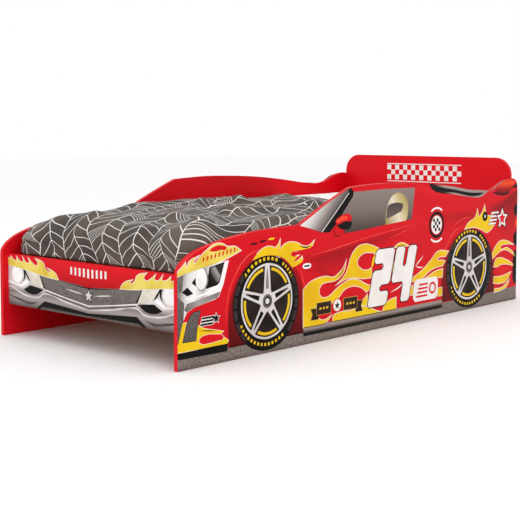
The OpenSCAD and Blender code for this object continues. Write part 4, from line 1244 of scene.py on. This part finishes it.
def duvet():
    """A thin filled duvet in printed satin, laid in long folds and settled by simulation."""
    bm = duvet_cloth()
    cloth = bpy.data.objects.new("satin_duvet", as_mesh(bm, "satin_duvet"))
    bpy.context.scene.collection.objects.link(cloth)
    settle(cloth)
    smooth = bmesh.new()
    smooth.from_mesh(cloth.data)
    for _ in range(2):
        bmesh.ops.smooth_vert(smooth, verts=[v for v in smooth.verts if not v.is_boundary],
                              factor=0.4, use_axis_x=True, use_axis_y=True, use_axis_z=True)
    for v in smooth.verts:
        if max(abs(v.co.x) - DUVET_SIDE, DUVET_FOOT - v.co.y) < -DUVET_ROLL:
            lies_on = sheet_high.z - sag(v.co.x, v.co.y)
            v.co.z = max(v.co.z, lies_on + DUVET_THICK + DUVET_CLEAR)
        v.co.x = max(-DUVET_SIDE, min(DUVET_SIDE, v.co.x))
        v.co.y = max(DUVET_FOOT, v.co.y)
        v.co.z = max(duvet_low.z + 1 * MM, v.co.z)
    mesh = as_mesh(smooth, "satin_duvet_settled")
    bpy.data.objects.remove(cloth)
    made = piece("satin_duvet", mesh, SATIN, "duvet")
    wall = made.modifiers.new("filling", "SOLIDIFY")
    wall.thickness = DUVET_THICK
    wall.offset = -1
    wall.use_even_offset = False
    wall.use_rim = True
    round_off = made.modifiers.new("soften", "SUBSURF")
    round_off.levels = round_off.render_levels = 1
    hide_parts("duvet")
    return made


# ---------------------------------------------------------------- assembly



def dress_frame():
    """Gives every CAD node of the frame its material."""
    along_x = pine("planed_pine_across", (0, 0, 0))
    along_y = pine("planed_pine_along", (0, 0, math.pi / 2))
    upright = pine("planed_pine_upright", (0, math.pi / 2, 0))
    steel = plated_steel()
    looks = {
        "side_panel_right": LACQUER, "side_panel_left": LACQUER, "headboard": LACQUER,
        "bumper_panel": LACQUER, "side_rail_right": along_y, "side_rail_left": along_y,
        "centre_beam": along_y, "head_rail": along_x, "foot_rail": along_x, "centre_leg": upright,
        "leg_glide": moulded("moulded_black_glide", "#242425", "#18181a"),
        "cam_caps": moulded("moulded_red_cap", "#c21320", "#a90f1b"),
        "cam_locks": cast_zinc(), "wooden_dowels": beech(), "cam_bolts": steel,
        "angle_brackets": steel, "rail_screws": steel, "slat_screws": steel,
        "bracket_screws": steel, "leg_screws": steel,
    }
    for name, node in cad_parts.items():
        mat = along_x if name.startswith("slat_") and name != "slat_screws" else looks.get(name)
        if mat:
            node.data.materials.clear()
            node.data.materials.append(mat)


FLOOR_HALF = 14         # half the width of the paper sweep
FLOOR_DROP = 1 * MM     # the sweep lies this far below the bed, so that the two never meet
LAMP_SIZE = 3
LAMPS = {"key": ((3.2, -1.6, 3.4), 26), "fill": ((-0.6, -4.2, 2.2), 4), "top": ((0, 0.3, 4.2), 9)}
LAMPS_AIM = Vector((0, 0, 0.2))
CAMERA_PLACE = (2.391, -2.702, 0.6026)
CAMERA_DOWN = 4.14      # degrees below level
CAMERA_TURN = 42.65     # degrees round from the foot end
CAMERA_LENS = 79.2
CAMERA_SHIFT = -0.1


def studio():
    """White sweep, soft key light, fill and the camera."""
    bm = bmesh.new()
    bmesh.ops.create_grid(bm, x_segments=1, y_segments=1, size=FLOOR_HALF)
    bmesh.ops.translate(bm, vec=(0, 0, -FLOOR_DROP), verts=bm.verts)
    floor = bpy.data.objects.new("floor", as_mesh(bm, "floor"))
    floor.data.materials.append(studio_floor())
    bpy.context.scene.collection.objects.link(floor)
    world = bpy.data.worlds.new("studio")
    world.use_nodes = True
    world.node_tree.nodes["Background"].inputs["Color"].default_value = (1, 1, 1, 1)
    world.node_tree.nodes["Background"].inputs["Strength"].default_value = 1.0
    bpy.context.scene.world = world
    for name, (spot, power) in LAMPS.items():
        lamp = bpy.data.lights.new(name, "AREA")
        lamp.size = LAMP_SIZE
        lamp.energy = power
        holder = bpy.data.objects.new(name, lamp)
        holder.location = spot
        aim = LAMPS_AIM - Vector(spot)
        holder.rotation_euler = aim.to_track_quat("-Z", "Y").to_euler()
        bpy.context.scene.collection.objects.link(holder)
    lens = bpy.data.cameras.new("camera")
    lens.sensor_width = 36
    lens.lens = CAMERA_LENS
    lens.shift_y = CAMERA_SHIFT
    camera = bpy.data.objects.new("camera", lens)
    camera.location = CAMERA_PLACE
    camera.rotation_euler = (math.radians(90 - CAMERA_DOWN), 0, math.radians(CAMERA_TURN))
    bpy.context.scene.collection.objects.link(camera)
    bpy.context.scene.camera = camera
    bpy.context.scene.view_settings.view_transform = "Standard"


studio()
dress_frame()
for side in SIDES:
    red_film(side, "bed_frame")
car_base()
wheel(-480, 138, -482, 133, 130, 126, 101)
wheel(503, 139, 506, 135, 138, 129, 106)
cabin()
nose()
flames()
race_number()
badges()
tail()
bumper_art()
headboard_art()
place_prints()
mattress()
fitted_sheet()
duvet()
